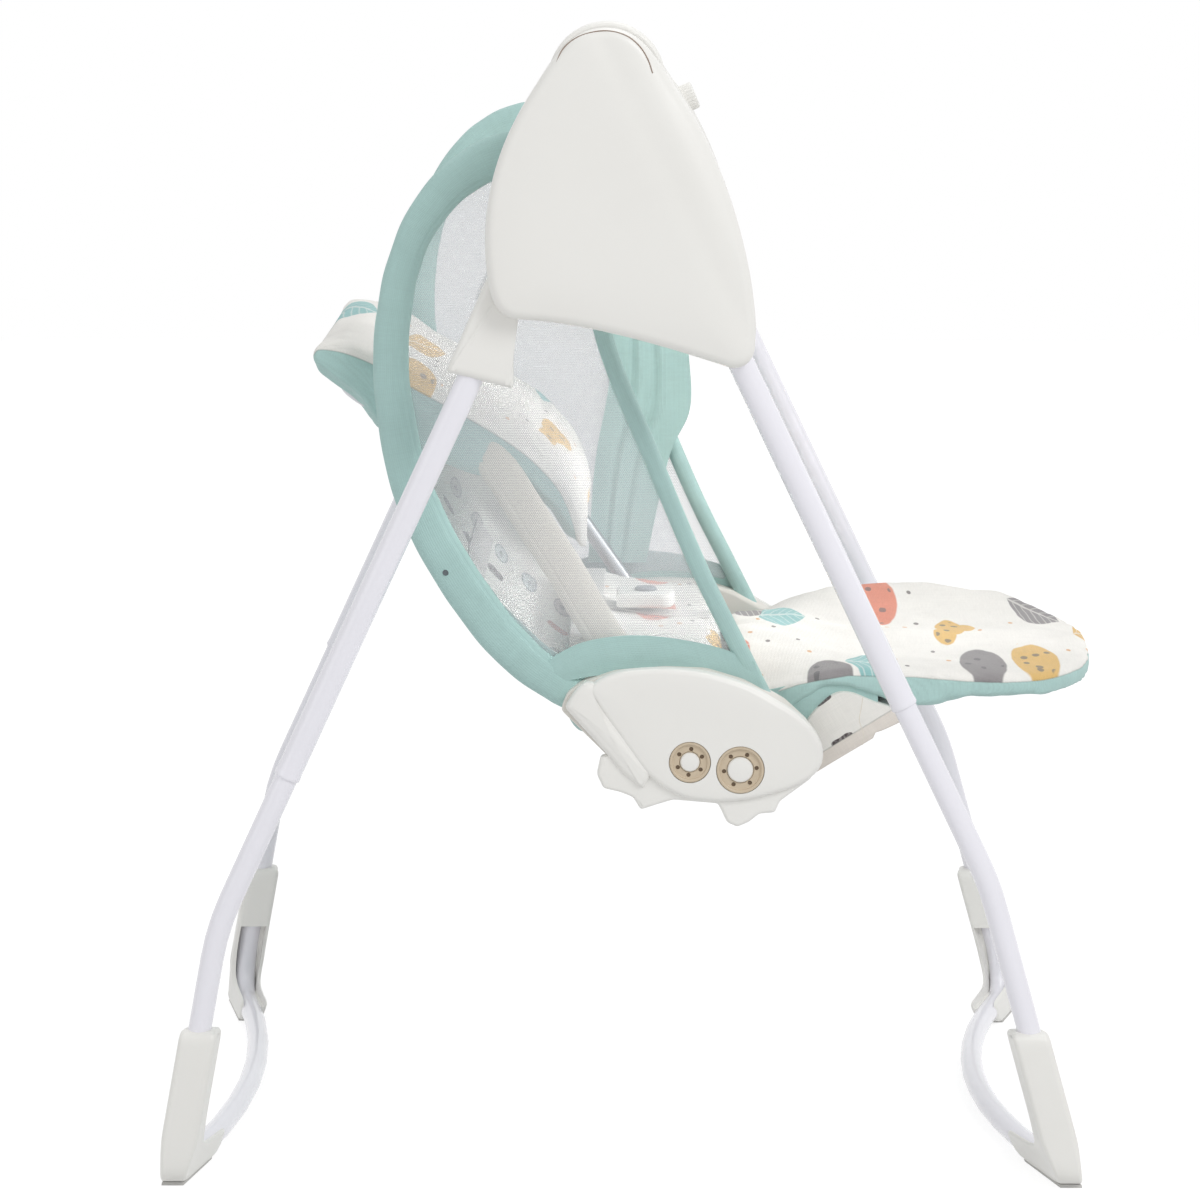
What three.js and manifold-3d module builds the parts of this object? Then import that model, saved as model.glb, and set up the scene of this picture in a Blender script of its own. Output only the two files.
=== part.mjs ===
// Folding baby swing: two tube frames crossed at a hub on each side, and a mesh-sided seat hung between.
// Millimetres. +X is the front, where the leg rest is. +Y is the baby's left, the drive side. +Z is up.
// The origin is on the floor, in the middle between the legs.
import * as THREE from 'three';
import { mergeVertices } from 'three/addons/utils/BufferGeometryUtils.js';
import Module from 'manifold-3d';

const wasm = await Module();
wasm.setup();

// ---------------------------------------------------------------- driving dimensions
const fit = 0.3;                  // gap where pieces touch or slide in each other
const far = 1500;                 // past everything, for cuts that go right through

// Fold pivot and swing axle share one line, at this place above the floor.
const pivotX = -26;
const pivotZ = 853;
// The hubs, the leg tubes and the seat are drawn with the pivot here, then moved to its place.
const drawn = { x: -26, z: 853 };

// Across the object, from the seat outwards: each plane's distance from the middle.
const loopPlane = 215;                    // the seat's side loops
const baseInner = loopPlane - 12;         // seat base housings
const baseSplit = loopPlane + 18;
const baseOuter = baseSplit + 17;
const hangerOuter = baseOuter + 4.3;
const hubInner = hangerOuter + 3.7;
const hubSplit = hubInner + 10;           // where a hub's two covers meet
const legPlane = hubSplit + 17;           // all the leg tubes of a side
const hubOuter = legPlane + 37;

const legTubeRadius = 10;                 // upper leg tubes
const legTubeWall = 0.7;
const floorTubeRadius = legTubeRadius - legTubeWall - fit;   // lower legs and floor run, one bent tube
const floorTubeWall = 1.2;
const lapLength = 36;                     // how far the lower tube goes up inside the leg tube
const footBend = 45;                      // bend radii of the floor tube
const kneeBend = 200;

// slope: forward run per drop. top, length: where the leg tube starts down the leg, and how long it is.
// tuck: how far the foot stands inside the leg's own line. bow: how far the floor run bows inwards.
const frontLeg = {
  forward: 1, slope: 0.479, top: 165, length: 361, kneeZ: 240, tuck: 45.84, bow: 88, bowBend: 780,
};
const rearLeg = {
  forward: -1, slope: 0.462, top: 176, length: 408, kneeZ: 205, tuck: 53.54, bow: 62, bowBend: 1100,
};

const bootHeight = 125;
const bootWidth = 2 * floorTubeRadius + 11;   // across the tube, along X
const bootDepth = 2 * floorTubeRadius + 10;   // of the sleeve, along Y
const bootReach = 88;                         // how far the boot runs inwards along the floor
const bootEdge = 3.5;
const bootLift = 1.5;                         // boot sole above the floor, on its rubber pad
const bootSlot = 2 * floorTubeRadius + 5;     // width of the open channel round the bend
const padWidth = 17;
const floorTubeHeight = bootLift + 1.5 + floorTubeRadius;

const hubWall = 2.6;
const hubEdge = 9;                // rounding of the outer rim
const leftHubDrop = 22;           // the drive hub is this much lower at its top
const foldSweep = 36;             // degrees that the rear frame closes

const armThickness = 2 * legTubeRadius + 7;   // rear hub arms
const armHeadRight = 44;
const armHeadLeft = 19;
const bushRadius = 9;
const axleRadius = 5;
const hangerThickness = 11;
const hangerHead = 19;

const loopRadius = 6.5;
const loopWall = 1;
const panelThickness = 2.4;

const baseWall = 2.6;
const reclineX = 38;              // backrest hinge, behind the rear ring
const reclineZ = 328;
const legHingeX = 77;             // leg rest tube, behind the front ring
const legHingeZ = 322;
const crossTubeRadius = 8;
const crossTubeWall = 1;
const ringDepth = 5;              // of the rings' recess in the base

const backFrameRadius = 6.5;
const backFramePlane = loopPlane - 20;
const cushionHalfWidth = backFramePlane - backFrameRadius - 2.5;
const cushionThickness = 41;
const panHalfWidth = cushionHalfWidth - 30;
const panTop = 352;
const panThickness = 4.5;
const bucketThickness = 4;
const legRestHalfWidth = loopPlane - 23;
const legRestBottom = 372;        // underside of the leg rest pad
const legRestThickness = 13;
const legRestBarRadius = 5;
const legRestBarPlane = legRestHalfWidth - 24;
const strapWidth = 34;
const strapThickness = 2.4;
const sleeveThickness = 3.2;

// ---------------------------------------------------------------- finishes
const finish = (color, roughness, metalness = 0) => ({ color, roughness, metalness });
const cream = finish(0xe9e7e2, 0.42);
const creamDeep = finish(0xdcd8cf, 0.5);
const paintedTube = finish(0xe3e2e8, 0.3, 0.1);
const steel = finish(0xb8bbc0, 0.35, 0.9);
const mint = finish(0xa6cbc4, 0.9);
const mesh = finish(0xf4f5f6, 0.9);
const print = finish(0xf1efea, 0.92);
const beige = finish(0xd6cbb8, 0.6);
const grey = finish(0x8a8f94, 0.6);
const rubber = finish(0x5c5f62, 0.9);

// ---------------------------------------------------------------- solid helpers
function asManifold(geometry) {
  const bare = geometry.clone();
  bare.deleteAttribute('normal');
  bare.deleteAttribute('uv');
  const merged = mergeVertices(bare, 1e-4);
  return new wasm.Manifold(new wasm.Mesh({
    numProp: 3,
    vertProperties: new Float32Array(merged.attributes.position.array),
    triVerts: new Uint32Array(merged.index.array),
  }));
}

function asGeometry(manifold) {
  const out = manifold.getMesh();
  const geometry = new THREE.BufferGeometry();
  geometry.setAttribute('position', new THREE.BufferAttribute(out.vertProperties, 3));
  geometry.setIndex(new THREE.BufferAttribute(out.triVerts, 1));
  return geometry;
}

function cut(body, ...tools) {
  return asGeometry(tools.reduce((left, tool) => left.subtract(asManifold(tool)), asManifold(body)));
}

function join(...parts) {
  return asGeometry(parts.map(asManifold).reduce((all, part) => all.add(part)));
}

// The same piece on the other side of the middle plane.
function mirrored(geometry) {
  const flat = geometry.index ? geometry.toNonIndexed() : geometry.clone();
  flat.deleteAttribute('normal');
  flat.deleteAttribute('uv');
  const p = flat.attributes.position;
  const turned = new Float32Array(p.array.length);
  for (let i = 0; i < p.count; i += 3) {
    [i, i + 2, i + 1].forEach((from, k) => {
      turned.set([p.getX(from), -p.getY(from), p.getZ(from)], (i + k) * 3);
    });
  }
  const out = new THREE.BufferGeometry();
  out.setAttribute('position', new THREE.BufferAttribute(turned, 3));
  return mergeVertices(out, 1e-4);
}

const onSide = (side, geometry) => (side.sign < 0 ? geometry : mirrored(geometry));

// A profile drawn in X and Z, carried along Y from y0 to y1.
function plate(shape, y0, y1, curveSegments = 8) {
  const geometry = new THREE.ExtrudeGeometry(shape, { depth: y1 - y0, bevelEnabled: false, curveSegments });
  return geometry.rotateX(Math.PI / 2).translate(0, y1, 0);
}

// The same with both faces' edges rounded, and its outline moved in by inset.
function softPlate(shape, y0, y1, edge, inset = 0, curveSegments = 8, bevelSegments = 3) {
  const geometry = new THREE.ExtrudeGeometry(shape, {
    depth: y1 - y0 - 2 * edge, bevelEnabled: true, bevelThickness: edge, bevelSize: edge,
    bevelOffset: -edge - inset, bevelSegments, curveSegments,
  });
  return geometry.rotateX(Math.PI / 2).translate(0, y1 - edge, 0);
}

// A profile drawn in X and Y, carried up from z0 to z1, with rounded edges.
function planSlab(shape, z0, z1, edge, curveSegments = 5) {
  const geometry = new THREE.ExtrudeGeometry(shape, {
    depth: z1 - z0 - 2 * edge, bevelEnabled: true, bevelThickness: edge, bevelSize: edge,
    bevelOffset: -edge, bevelSegments: 2, curveSegments,
  });
  return geometry.translate(0, 0, z0 + edge);
}

function box(x0, x1, y0, y1, z0, z1) {
  const geometry = new THREE.BoxGeometry(x1 - x0, y1 - y0, z1 - z0);
  return geometry.translate((x0 + x1) / 2, (y0 + y1) / 2, (z0 + z1) / 2);
}

function polygon(points) {
  return new THREE.Shape(points.map(([x, z]) => new THREE.Vector2(x, z)));
}

function ring(radius, sides, x = 0, z = 0) {
  const points = Array.from({ length: sides }, (_, i) => {
    const a = (i + 0.5) * 2 * Math.PI / sides;
    return new THREE.Vector2(x + radius * Math.cos(a), z + radius * Math.sin(a));
  });
  return new THREE.Shape(points);
}

// A round piece along Y.
function disc(x, z, radius, y0, y1, sides = 20) {
  return plate(ring(radius, sides, x, z), y0, y1);
}

// A centre line of straight runs joined by round bends, with stations only where it turns.
class BentLine extends THREE.Curve {
  constructor(corners, bends = [], bendStep = 15) {
    super();
    this.points = [corners[0].clone()];
    this.directions = [corners[1].clone().sub(corners[0]).normalize()];
    for (let i = 1; i < corners.length - 1; i++) {
      const inward = corners[i].clone().sub(corners[i - 1]).normalize();
      const outward = corners[i + 1].clone().sub(corners[i]).normalize();
      const turn = inward.angleTo(outward);
      const radius = bends[i - 1];
      const start = corners[i].clone().addScaledVector(inward, -radius * Math.tan(turn / 2));
      const across = outward.clone().addScaledVector(inward, -outward.dot(inward)).normalize();
      const byAngle = Math.ceil(THREE.MathUtils.radToDeg(turn) / bendStep);
      const steps = Math.max(2, byAngle, Math.ceil(turn * radius / 70));
      for (let k = 0; k <= steps; k++) {
        const a = turn * k / steps;
        const point = start.clone().addScaledVector(inward, radius * Math.sin(a));
        this.points.push(point.addScaledVector(across, radius * (1 - Math.cos(a))));
        const direction = inward.clone().multiplyScalar(Math.cos(a));
        this.directions.push(direction.addScaledVector(across, Math.sin(a)));
      }
    }
    this.points.push(corners.at(-1).clone());
    this.directions.push(corners.at(-1).clone().sub(corners.at(-2)).normalize());
    this.steps = this.points.length - 1;
  }

  getPoint(t) {
    const at = Math.min(Math.round(t * this.steps), this.steps);
    return this.points[at].clone();
  }

  getPointAt(u) {
    return this.getPoint(u);
  }

  getTangentAt(u, target = new THREE.Vector3()) {
    return target.copy(this.directions[Math.round(u * this.steps)]);
  }
}

function tube(line, outer, bore, sides = 12, boreSides = sides) {
  const section = ring(outer, sides);
  if (bore) section.holes.push(ring(bore, boreSides));
  return new THREE.ExtrudeGeometry(section, { steps: line.steps, extrudePath: line, bevelEnabled: false });
}

const at = (x, y, z) => new THREE.Vector3(x, y, z);

function rod(from, to, outer, bore = 0, sides = 12) {
  return tube(new BentLine([from, to]), outer, bore, sides);
}

const object = new THREE.Group();

function add(name, geometry, look) {
  const clean = geometry.clone();
  clean.deleteAttribute('uv');
  clean.computeVertexNormals();
  const piece = new THREE.Mesh(clean, new THREE.MeshStandardMaterial(look));
  piece.name = name;
  object.add(piece);
}

const armOuter = legPlane + armThickness / 2;
const right = {
  name: 'right', sign: -1, drop: 0, head: armHeadRight,
  bushEnd: armOuter + 4.5, axleEnd: armOuter + 3, bossEnd: armOuter + 1,
};
const left = {
  name: 'left', sign: 1, drop: leftHubDrop, head: armHeadLeft,
  bushEnd: armOuter + 3, axleEnd: armOuter + 17, bossEnd: armOuter + 14,
};
const sides = [right, left];

// ---------------------------------------------------------------- legs
// From where the hubs and the seat are drawn to their place.
const placed = (geometry) => geometry.translate(pivotX - drawn.x, 0, pivotZ - drawn.z);

// The point on a leg's straight part, a distance down from the pivot, as drawn.
function alongLeg(leg, distance, y = -legPlane) {
  const run = Math.hypot(1, leg.slope);
  return at(drawn.x + leg.forward * leg.slope * distance / run, y, drawn.z - distance / run);
}

function legAtHeight(leg, z) {
  return at(pivotX + leg.forward * leg.slope * (pivotZ - z), -legPlane, z);
}

function footX(leg) {
  return legAtHeight(leg, floorTubeHeight).x - leg.forward * leg.tuck;
}

function legTube(leg) {
  return rod(alongLeg(leg, leg.top), alongLeg(leg, leg.top + leg.length), legTubeRadius,
    legTubeRadius - legTubeWall, 16);
}

// Socket for a leg tube, from a distance down the leg to well below the hub.
function legBore(leg, from) {
  return rod(alongLeg(leg, from), alongLeg(leg, 330), legTubeRadius + fit, 0, 16);
}

// Lower leg, floor run and other lower leg, bent from one length of tube.
function floorLine(leg) {
  const down = leg.top + leg.length - lapLength;
  const top = legAtHeight(leg, pivotZ - down / Math.hypot(1, leg.slope));
  const knee = legAtHeight(leg, leg.kneeZ);
  const foot = at(footX(leg), -legPlane, floorTubeHeight);
  const middle = at(footX(leg) - leg.forward * leg.bow, 0, floorTubeHeight);
  const across = (point) => at(point.x, -point.y, point.z);
  const corners = [top, knee, foot, middle, across(foot), across(knee), across(top)];
  return new BentLine(corners, [kneeBend, footBend, leg.bowBend, footBend, kneeBend]);
}

function floorTube(leg) {
  return tube(floorLine(leg), floorTubeRadius, floorTubeRadius - floorTubeWall, 10, 5);
}

// Height above the floor leans a boot along its leg, and distance inwards bends it along the floor run.
function leanBoot(geometry, leg) {
  const knee = legAtHeight(leg, leg.kneeZ);
  const lean = (footX(leg) - knee.x) / (knee.z - floorTubeHeight);
  const turnIn = leg.bow / legPlane;
  const p = geometry.attributes.position;
  for (let i = 0; i < p.count; i++) {
    const inward = Math.max(0, legPlane + p.getY(i));
    const rise = p.getZ(i) - floorTubeHeight;
    p.setX(i, footX(leg) + p.getX(i) - lean * rise - leg.forward * turnIn * inward);
  }
  return geometry;
}

// A profile in Y and Z carried along X, centred on X = 0, with rounded edges.
function crossPlate(shape, width, edge, curveSegments = 3) {
  const geometry = new THREE.ExtrudeGeometry(shape, {
    depth: width - 2 * edge, bevelEnabled: edge > 0, bevelThickness: edge, bevelSize: edge,
    bevelOffset: -edge, bevelSegments: 2, curveSegments,
  });
  geometry.rotateX(Math.PI / 2).rotateZ(Math.PI / 2);
  return geometry.translate(-(width - 2 * edge) / 2, 0, 0);
}

function bootProfile() {
  const outer = -legPlane - bootDepth / 2;
  const inner = -legPlane + bootDepth / 2;
  const end = -legPlane + bootReach;
  const shape = new THREE.Shape();
  shape.moveTo(outer, bootHeight);
  shape.lineTo(outer, bootLift + 16);
  shape.quadraticCurveTo(outer, bootLift, outer + 16, bootLift);
  shape.lineTo(end - 10, bootLift);
  shape.quadraticCurveTo(end, bootLift, end, bootLift + 8);
  shape.lineTo(end, bootLift + 24);
  shape.lineTo(inner + 26, bootLift + 28);
  shape.quadraticCurveTo(inner + 4, bootLift + 34, inner, bootLift + 62);
  shape.lineTo(inner, bootHeight);
  return shape;
}

function boot(leg) {
  const body = leanBoot(crossPlate(bootProfile(), bootWidth, bootEdge), leg);
  const channel = polygon([
    [-legPlane - 2, bootHeight * 0.6], [-legPlane - 2, 44], [-legPlane + 14, 16],
    [-legPlane + bootReach + 6, 16], [-legPlane + bootReach + 6, 60], [-legPlane + 40, bootHeight * 0.6],
  ]);
  const open = leanBoot(crossPlate(channel, bootSlot, 0), leg);
  const bore = tube(floorLine(leg), floorTubeRadius + fit, 0, 10);
  const pocket = leanBoot(crossPlate(padProfile(fit), padWidth + 2 * fit, 0), leg);
  return cut(body, open, bore, pocket);
}

function padProfile(grow) {
  const from = -legPlane - 2 - grow;
  const to = -legPlane + bootReach - 18 + grow;
  return polygon([[from, 0], [to, 0], [to, bootLift + 1.2 + grow], [from, bootLift + 1.2 + grow]]);
}

function footPad(leg) {
  return leanBoot(crossPlate(padProfile(0), padWidth, 0), leg);
}

// ---------------------------------------------------------------- hubs
// Outline of a hub: a round head over the pivot, flanks that widen downwards and a long sloping foot.
function hubOutline(drop) {
  const down = (z) => z - drop * Math.max(0, z - 640) / (898 - 640);
  const shape = new THREE.Shape();
  shape.moveTo(drawn.x, down(893));
  shape.bezierCurveTo(-2, down(893), 10, down(874), 25, down(848));
  shape.bezierCurveTo(52, down(795), 77, down(712), 85, 662);
  shape.bezierCurveTo(86, 648, 79, 639, 66, 641);
  shape.bezierCurveTo(24, 655, -40, 675, -92, 677);
  shape.bezierCurveTo(-107, 678, -113, 690, -115, down(710));
  shape.bezierCurveTo(-120, down(748), -114, down(796), -84, down(842));
  shape.bezierCurveTo(-64, down(874), -52, down(893), drawn.x, down(893));
  return shape;
}

// The space that a rear arm sweeps while the frame folds, as a fan about the pivot.
function armSweep(y0, y1) {
  const angle = (degrees) => THREE.MathUtils.degToRad(-90 + degrees);
  const lean = THREE.MathUtils.radToDeg(Math.atan(rearLeg.slope));
  const from = -lean - 9;
  const to = -lean + foldSweep + 10;
  const shape = new THREE.Shape();
  const rim = (radius, a) => [drawn.x + radius * Math.cos(a), drawn.z + radius * Math.sin(a)];
  shape.moveTo(...rim(100, angle(from)));
  shape.lineTo(...rim(300, angle(from)));
  shape.absarc(drawn.x, drawn.z, 300, angle(from), angle(to), false);
  shape.lineTo(...rim(100, angle(to)));
  return plate(shape, y0, y1);
}

function hubOuterCover(side) {
  const outline = hubOutline(side.drop);
  const trim = box(-far, far, -hubSplit, 0, 0, far);
  const outer = cut(softPlate(outline, -hubOuter, -hubSplit + 2 * hubEdge, hubEdge, 0, 4, 2), trim);
  const roomEdge = hubEdge - hubWall / 2;
  const room = softPlate(outline, -hubOuter + hubWall, -hubSplit + 3 * hubEdge, roomEdge, hubWall, 4, 1);
  const slot = armSweep(-armOuter - 1.5, 0);
  const headRoom = disc(drawn.x, drawn.z, side.head + 1, -armOuter - 1.5, 0, 36);
  const legHole = legBore(frontLeg, frontLeg.top - 60);
  const boss = disc(drawn.x, drawn.z, bushRadius + 3, -hubOuter + hubWall / 2, -side.bossEnd);
  const bushSocket = disc(drawn.x, drawn.z, bushRadius + fit, -side.bushEnd - fit, 0);
  const axleSocket = disc(drawn.x, drawn.z, axleRadius + fit, -side.axleEnd - fit, 0, 16);
  return cut(join(cut(outer, room, slot, headRoom), boss), bushSocket, axleSocket, legHole);
}

function hubInnerCover(side) {
  const outline = hubOutline(side.drop);
  const edge = 4;
  const trim = box(-far, far, -far, -hubSplit + fit, 0, far);
  const outer = cut(softPlate(outline, -hubSplit - 2 * edge, -hubInner, edge, 0, 4, 2), trim);
  const room = softPlate(outline, -hubSplit - 20, -hubInner - hubWall, edge - 1, hubWall, 4, 1);
  const legHole = legBore(frontLeg, frontLeg.top - 4);
  const slot = armSweep(-far, -legPlane + armThickness / 2 + 1.5);
  const collar = disc(drawn.x, drawn.z, bushRadius + 5, -hubInner - 4, -hubInner + 2.6);
  const hole = disc(drawn.x, drawn.z, bushRadius + fit, -far, 0);
  const button = disc(foldButton.x, foldButton.z, foldButton.radius + fit, -far, 0);
  return cut(join(cut(outer, room, slot), collar), hole, legHole, button);
}

const foldButton = { x: 36, z: 752, radius: 9, travel: 4 };

function foldReleaseButton() {
  const back = -hubInner - hubWall - fit;
  const cap = disc(foldButton.x, foldButton.z, foldButton.radius, back - 2, -hubInner + 1.8);
  const flange = disc(foldButton.x, foldButton.z, foldButton.radius + 2.5, back - 2.6, back);
  return join(cap, flange);
}

function pivotBush(side) {
  const outside = disc(drawn.x, drawn.z, bushRadius, -side.bushEnd, -hubInner + 3);
  return cut(outside, disc(drawn.x, drawn.z, axleRadius + fit, -far, 0, 16));
}

// Arm that carries a rear leg: a round head on the bush, and a flared socket below the hub.
function rearHubArm(side) {
  const half = armThickness / 2;
  const blade = polygon([
    [drawn.x - side.head * 0.93, drawn.z - side.head * 0.36], [-80, 790], [-120, 697], [-147, 636],
    [-96, 623], [-97, 690], [-62, 760], [drawn.x + side.head * 0.36, drawn.z - side.head * 0.93],
  ]);
  const head = disc(drawn.x, drawn.z, side.head, -legPlane - half, -legPlane + half, 36);
  const body = join(plate(blade, -legPlane - half, -legPlane + half), head);
  const hole = disc(drawn.x, drawn.z, bushRadius + fit, -far, 0);
  const bore = legBore(rearLeg, rearLeg.top - fit);
  return cut(body, hole, bore);
}

// ---------------------------------------------------------------- drive, inside the left hub
function addDrive() {
  const wall = hubOuter - hubWall - fit;
  const cell = { radius: 7, length: 50 };
  const deep = wall - cell.radius - 1;
  const cells = [0, 1, 2, 3].map((i) => {
    const x = -86 + (i % 2) * (cell.length + 2);
    const z = 704 + Math.floor(i / 2) * (2 * cell.radius + 2) - (i % 2) * 6;
    return rod(at(x, deep, z), at(x + cell.length, deep, z), cell.radius, 0, 12);
  });
  const tray = box(-88, 18, wall - 3, wall, 690, 730);
  add('battery_pack', placed(join(tray, ...cells)), creamDeep);
  const motor = { from: -44, to: -10, z: 770, radius: 8 };
  const gearbox = { width: 30, depth: 17, bottom: 752, top: 790 };
  const gearFrom = motor.to + fit;
  const gearTo = gearFrom + gearbox.width;
  const middle = wall - motor.radius;
  const shaft = [at(motor.from, middle, motor.z), at(motor.to, middle, motor.z)];
  add('drive_motor', placed(rod(...shaft, motor.radius, 0, 14)), steel);
  const gearBlock = box(gearFrom, gearTo, wall - gearbox.depth, wall, gearbox.bottom, gearbox.top);
  add('drive_gearbox', placed(gearBlock), creamDeep);
  const board = finish(0x3f7d5a, 0.6);
  const boardAt = gearTo + fit;
  add('control_board', placed(box(boardAt, boardAt + 2, wall - gearbox.depth, wall, 746, 806)), board);
}

// ---------------------------------------------------------------- speed dial on the left hub's front flank
const dial = { x: 35.9, z: 810.2, y: legPlane, tilt: 23.2, radius: 12, height: 12 };

function speedDial() {
  const { radius, height } = dial;
  const profile = [[0, 0], [radius, 0], [radius, height - 3], [radius - 3, height], [0, height]];
  const knob = new THREE.LatheGeometry(profile.map(([r, h]) => new THREE.Vector2(r, h)), 18);
  const grips = Array.from({ length: 6 }, (_, i) => {
    const a = i * Math.PI / 3;
    const notch = new THREE.CylinderGeometry(2, 2, 20, 8);
    return notch.translate(radius * Math.cos(a) * 1.05, height / 2 + 3, radius * Math.sin(a) * 1.05);
  });
  const turned = cut(knob, ...grips);
  turned.rotateZ(-Math.PI / 2).rotateY(-THREE.MathUtils.degToRad(dial.tilt));
  return turned.translate(dial.x, dial.y, dial.z);
}

// ---------------------------------------------------------------- seat side loops
// Centre line of a side loop: up the back from the base, over the top and down the straight front.
const loopPoints = [
  [-26, 362], [-52, 377], [-90, 401], [-128, 440], [-160, 488], [-182, 540], [-192, 592], [-194, 645],
  [-185, 704], [-163, 757], [-132, 795], [-98, 813], [-66, 806], [-49, 780], [-42, 735], [-29, 655],
  [10, 557], [48, 468], [76, 412], [98, 368],
];

class LoopLine extends THREE.CatmullRomCurve3 {
  constructor(points) {
    super(points, false, 'centripetal');
    this.steps = 28;
  }
}

const loopLine = new LoopLine(loopPoints.map(([x, z]) => at(x, -loopPlane, z)));

function sideLoop() {
  return tube(loopLine, loopRadius, loopRadius - loopWall, 8, 5);
}

// Room for the loop in the pieces that hold it, running a little past its ends.
function loopBore() {
  const ends = [0, 1].map((u) => {
    const p = loopLine.getPointAt(u);
    const out = loopLine.getTangentAt(u).multiplyScalar(u === 0 ? -1 : 1);
    const from = p.clone().addScaledVector(out, -4);
    return rod(from, p.clone().addScaledVector(out, fit), loopRadius + fit, 0, 8);
  });
  return join(tube(loopLine, loopRadius + fit, 0, 8), ...ends);
}

// Outline inside the loop, moved in from the tube, and closed over the top of the base housing.
function insideLoop(inset) {
  const points = [];
  for (let i = 1; i < loopLine.steps; i++) {
    const p = loopLine.getPointAt(i / loopLine.steps);
    const t = loopLine.getTangentAt(i / loopLine.steps);
    points.push(new THREE.Vector2(p.x + t.z * inset, p.z - t.x * inset));
  }
  return points.filter((p) => p.y > baseTop(p.x) + 2);
}

const baseTop = (x) => 402 - 0.0031 * (x - 22) ** 2;

function sidePanel() {
  const rim = insideLoop(loopRadius + 2 * fit);
  const steps = 8;
  const first = rim[0];
  const last = rim.at(-1);
  for (let i = 1; i < steps; i++) {
    const x = last.x + (first.x - last.x) * i / steps;
    rim.push(new THREE.Vector2(x, baseTop(x) + 2));
  }
  const half = panelThickness / 2;
  const panel = plate(new THREE.Shape(rim), -loopPlane - half, -loopPlane + half);
  return cut(panel, plate(clampShape(fit), -far, 0), tube(loopLine, loopRadius + fit, 0, 8));
}

// Part of the hanger that grips the loop's upright run.
function clampShape(grow) {
  return polygon([[-56 - grow, 778 + grow], [-46 - grow, 700 - grow], [-20, 700 - grow], [-27, 778 + grow]]);
}

// Hanger: hangs on the swing axle behind the hub, and clamps the loop's upright part.
function hanger() {
  const inner = -hangerOuter + hangerThickness;
  const blade = polygon([
    [drawn.x - hangerHead, drawn.z + 2], [-62, 800], [-64, 700], [-52, 690],
    [-24, 690], [-18, 700], [-8, 800], [drawn.x + hangerHead, drawn.z + 2],
  ]);
  const head = disc(drawn.x, drawn.z, hangerHead, -hangerOuter, inner, 28);
  const block = plate(clampShape(0), inner - 2, -loopPlane + loopRadius + 4);
  const bore = loopBore();
  const axleHole = disc(drawn.x, drawn.z, axleRadius + fit, -far, 0, 16);
  return cut(join(plate(blade, -hangerOuter, inner), head, block), bore, axleHole);
}

function swingAxle(side) {
  const inner = -hangerOuter + hangerThickness;
  const shaft = disc(drawn.x, drawn.z, axleRadius, -side.axleEnd, inner + 3, 16);
  const nut = disc(drawn.x, drawn.z, 9, inner + fit, inner + 6, 6);
  return join(shaft, nut);
}

function swingCrank() {
  const y0 = legPlane + armThickness / 2 + 6;
  const { x, z } = drawn;
  const arm = polygon([[x - 8, z + 6], [x - 6, z - 46], [x + 6, z - 46], [x + 8, z + 6]]);
  return cut(plate(arm, y0, y0 + 6), disc(drawn.x, drawn.z, axleRadius + fit, 0, far, 16));
}

// ---------------------------------------------------------------- seat base
function baseOutline() {
  const shape = new THREE.Shape();
  shape.moveTo(-46, 374);
  shape.quadraticCurveTo(-34, 398, 18, 400);
  shape.quadraticCurveTo(72, 401, 112, 373);
  shape.quadraticCurveTo(140, 356, 141, 330);
  shape.quadraticCurveTo(141, 320, 132, 314);
  shape.lineTo(106, 294);
  shape.lineTo(102, 286);
  shape.lineTo(92, 286);
  shape.quadraticCurveTo(70, 262, 60, 294);
  shape.lineTo(25, 297);
  shape.lineTo(0, 289);
  shape.lineTo(-6, 300);
  shape.lineTo(-30, 306);
  shape.lineTo(-31, 331);
  shape.lineTo(-18, 334);
  return shape;
}

function baseInnerOutline() {
  const shape = new THREE.Shape();
  shape.moveTo(-62, 366);
  shape.quadraticCurveTo(-58, 388, -40, 389);
  shape.quadraticCurveTo(-20, 399, 18, 399);
  shape.quadraticCurveTo(72, 399, 112, 371);
  shape.quadraticCurveTo(138, 354, 139, 330);
  shape.quadraticCurveTo(139, 322, 130, 315);
  shape.lineTo(104, 296);
  shape.lineTo(25, 299);
  shape.lineTo(-16, 320);
  return shape;
}

const rings = [
  { name: 'rear', x: reclineX, z: reclineZ, radius: 16, boss: 6.8 },
  { name: 'front', x: legHingeX, z: legHingeZ, radius: 18.5, boss: 9.2 },
];

function baseOuterHousing() {
  const edge = 5;
  const outline = baseOutline();
  const trim = box(-far, far, -baseSplit, 0, 0, far);
  const body = cut(softPlate(outline, -baseOuter, -baseSplit + 2 * edge, edge, 0, 3, 2), trim);
  const room = softPlate(outline, -baseOuter + baseWall, -baseSplit + 3 * edge, edge - 1, baseWall, 3, 1);
  const bosses = rings.map((r) => disc(r.x, r.z, r.radius + 3, -baseOuter + 2, -baseSplit - 2, 20));
  const recesses = rings.flatMap((r) => [
    disc(r.x, r.z, r.radius + fit, -far, -baseOuter + ringDepth, 20),
    disc(r.x, r.z, crossTubeRadius + fit, -far, 0, 16),
  ]);
  return cut(join(cut(body, room), ...bosses), ...recesses);
}

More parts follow.
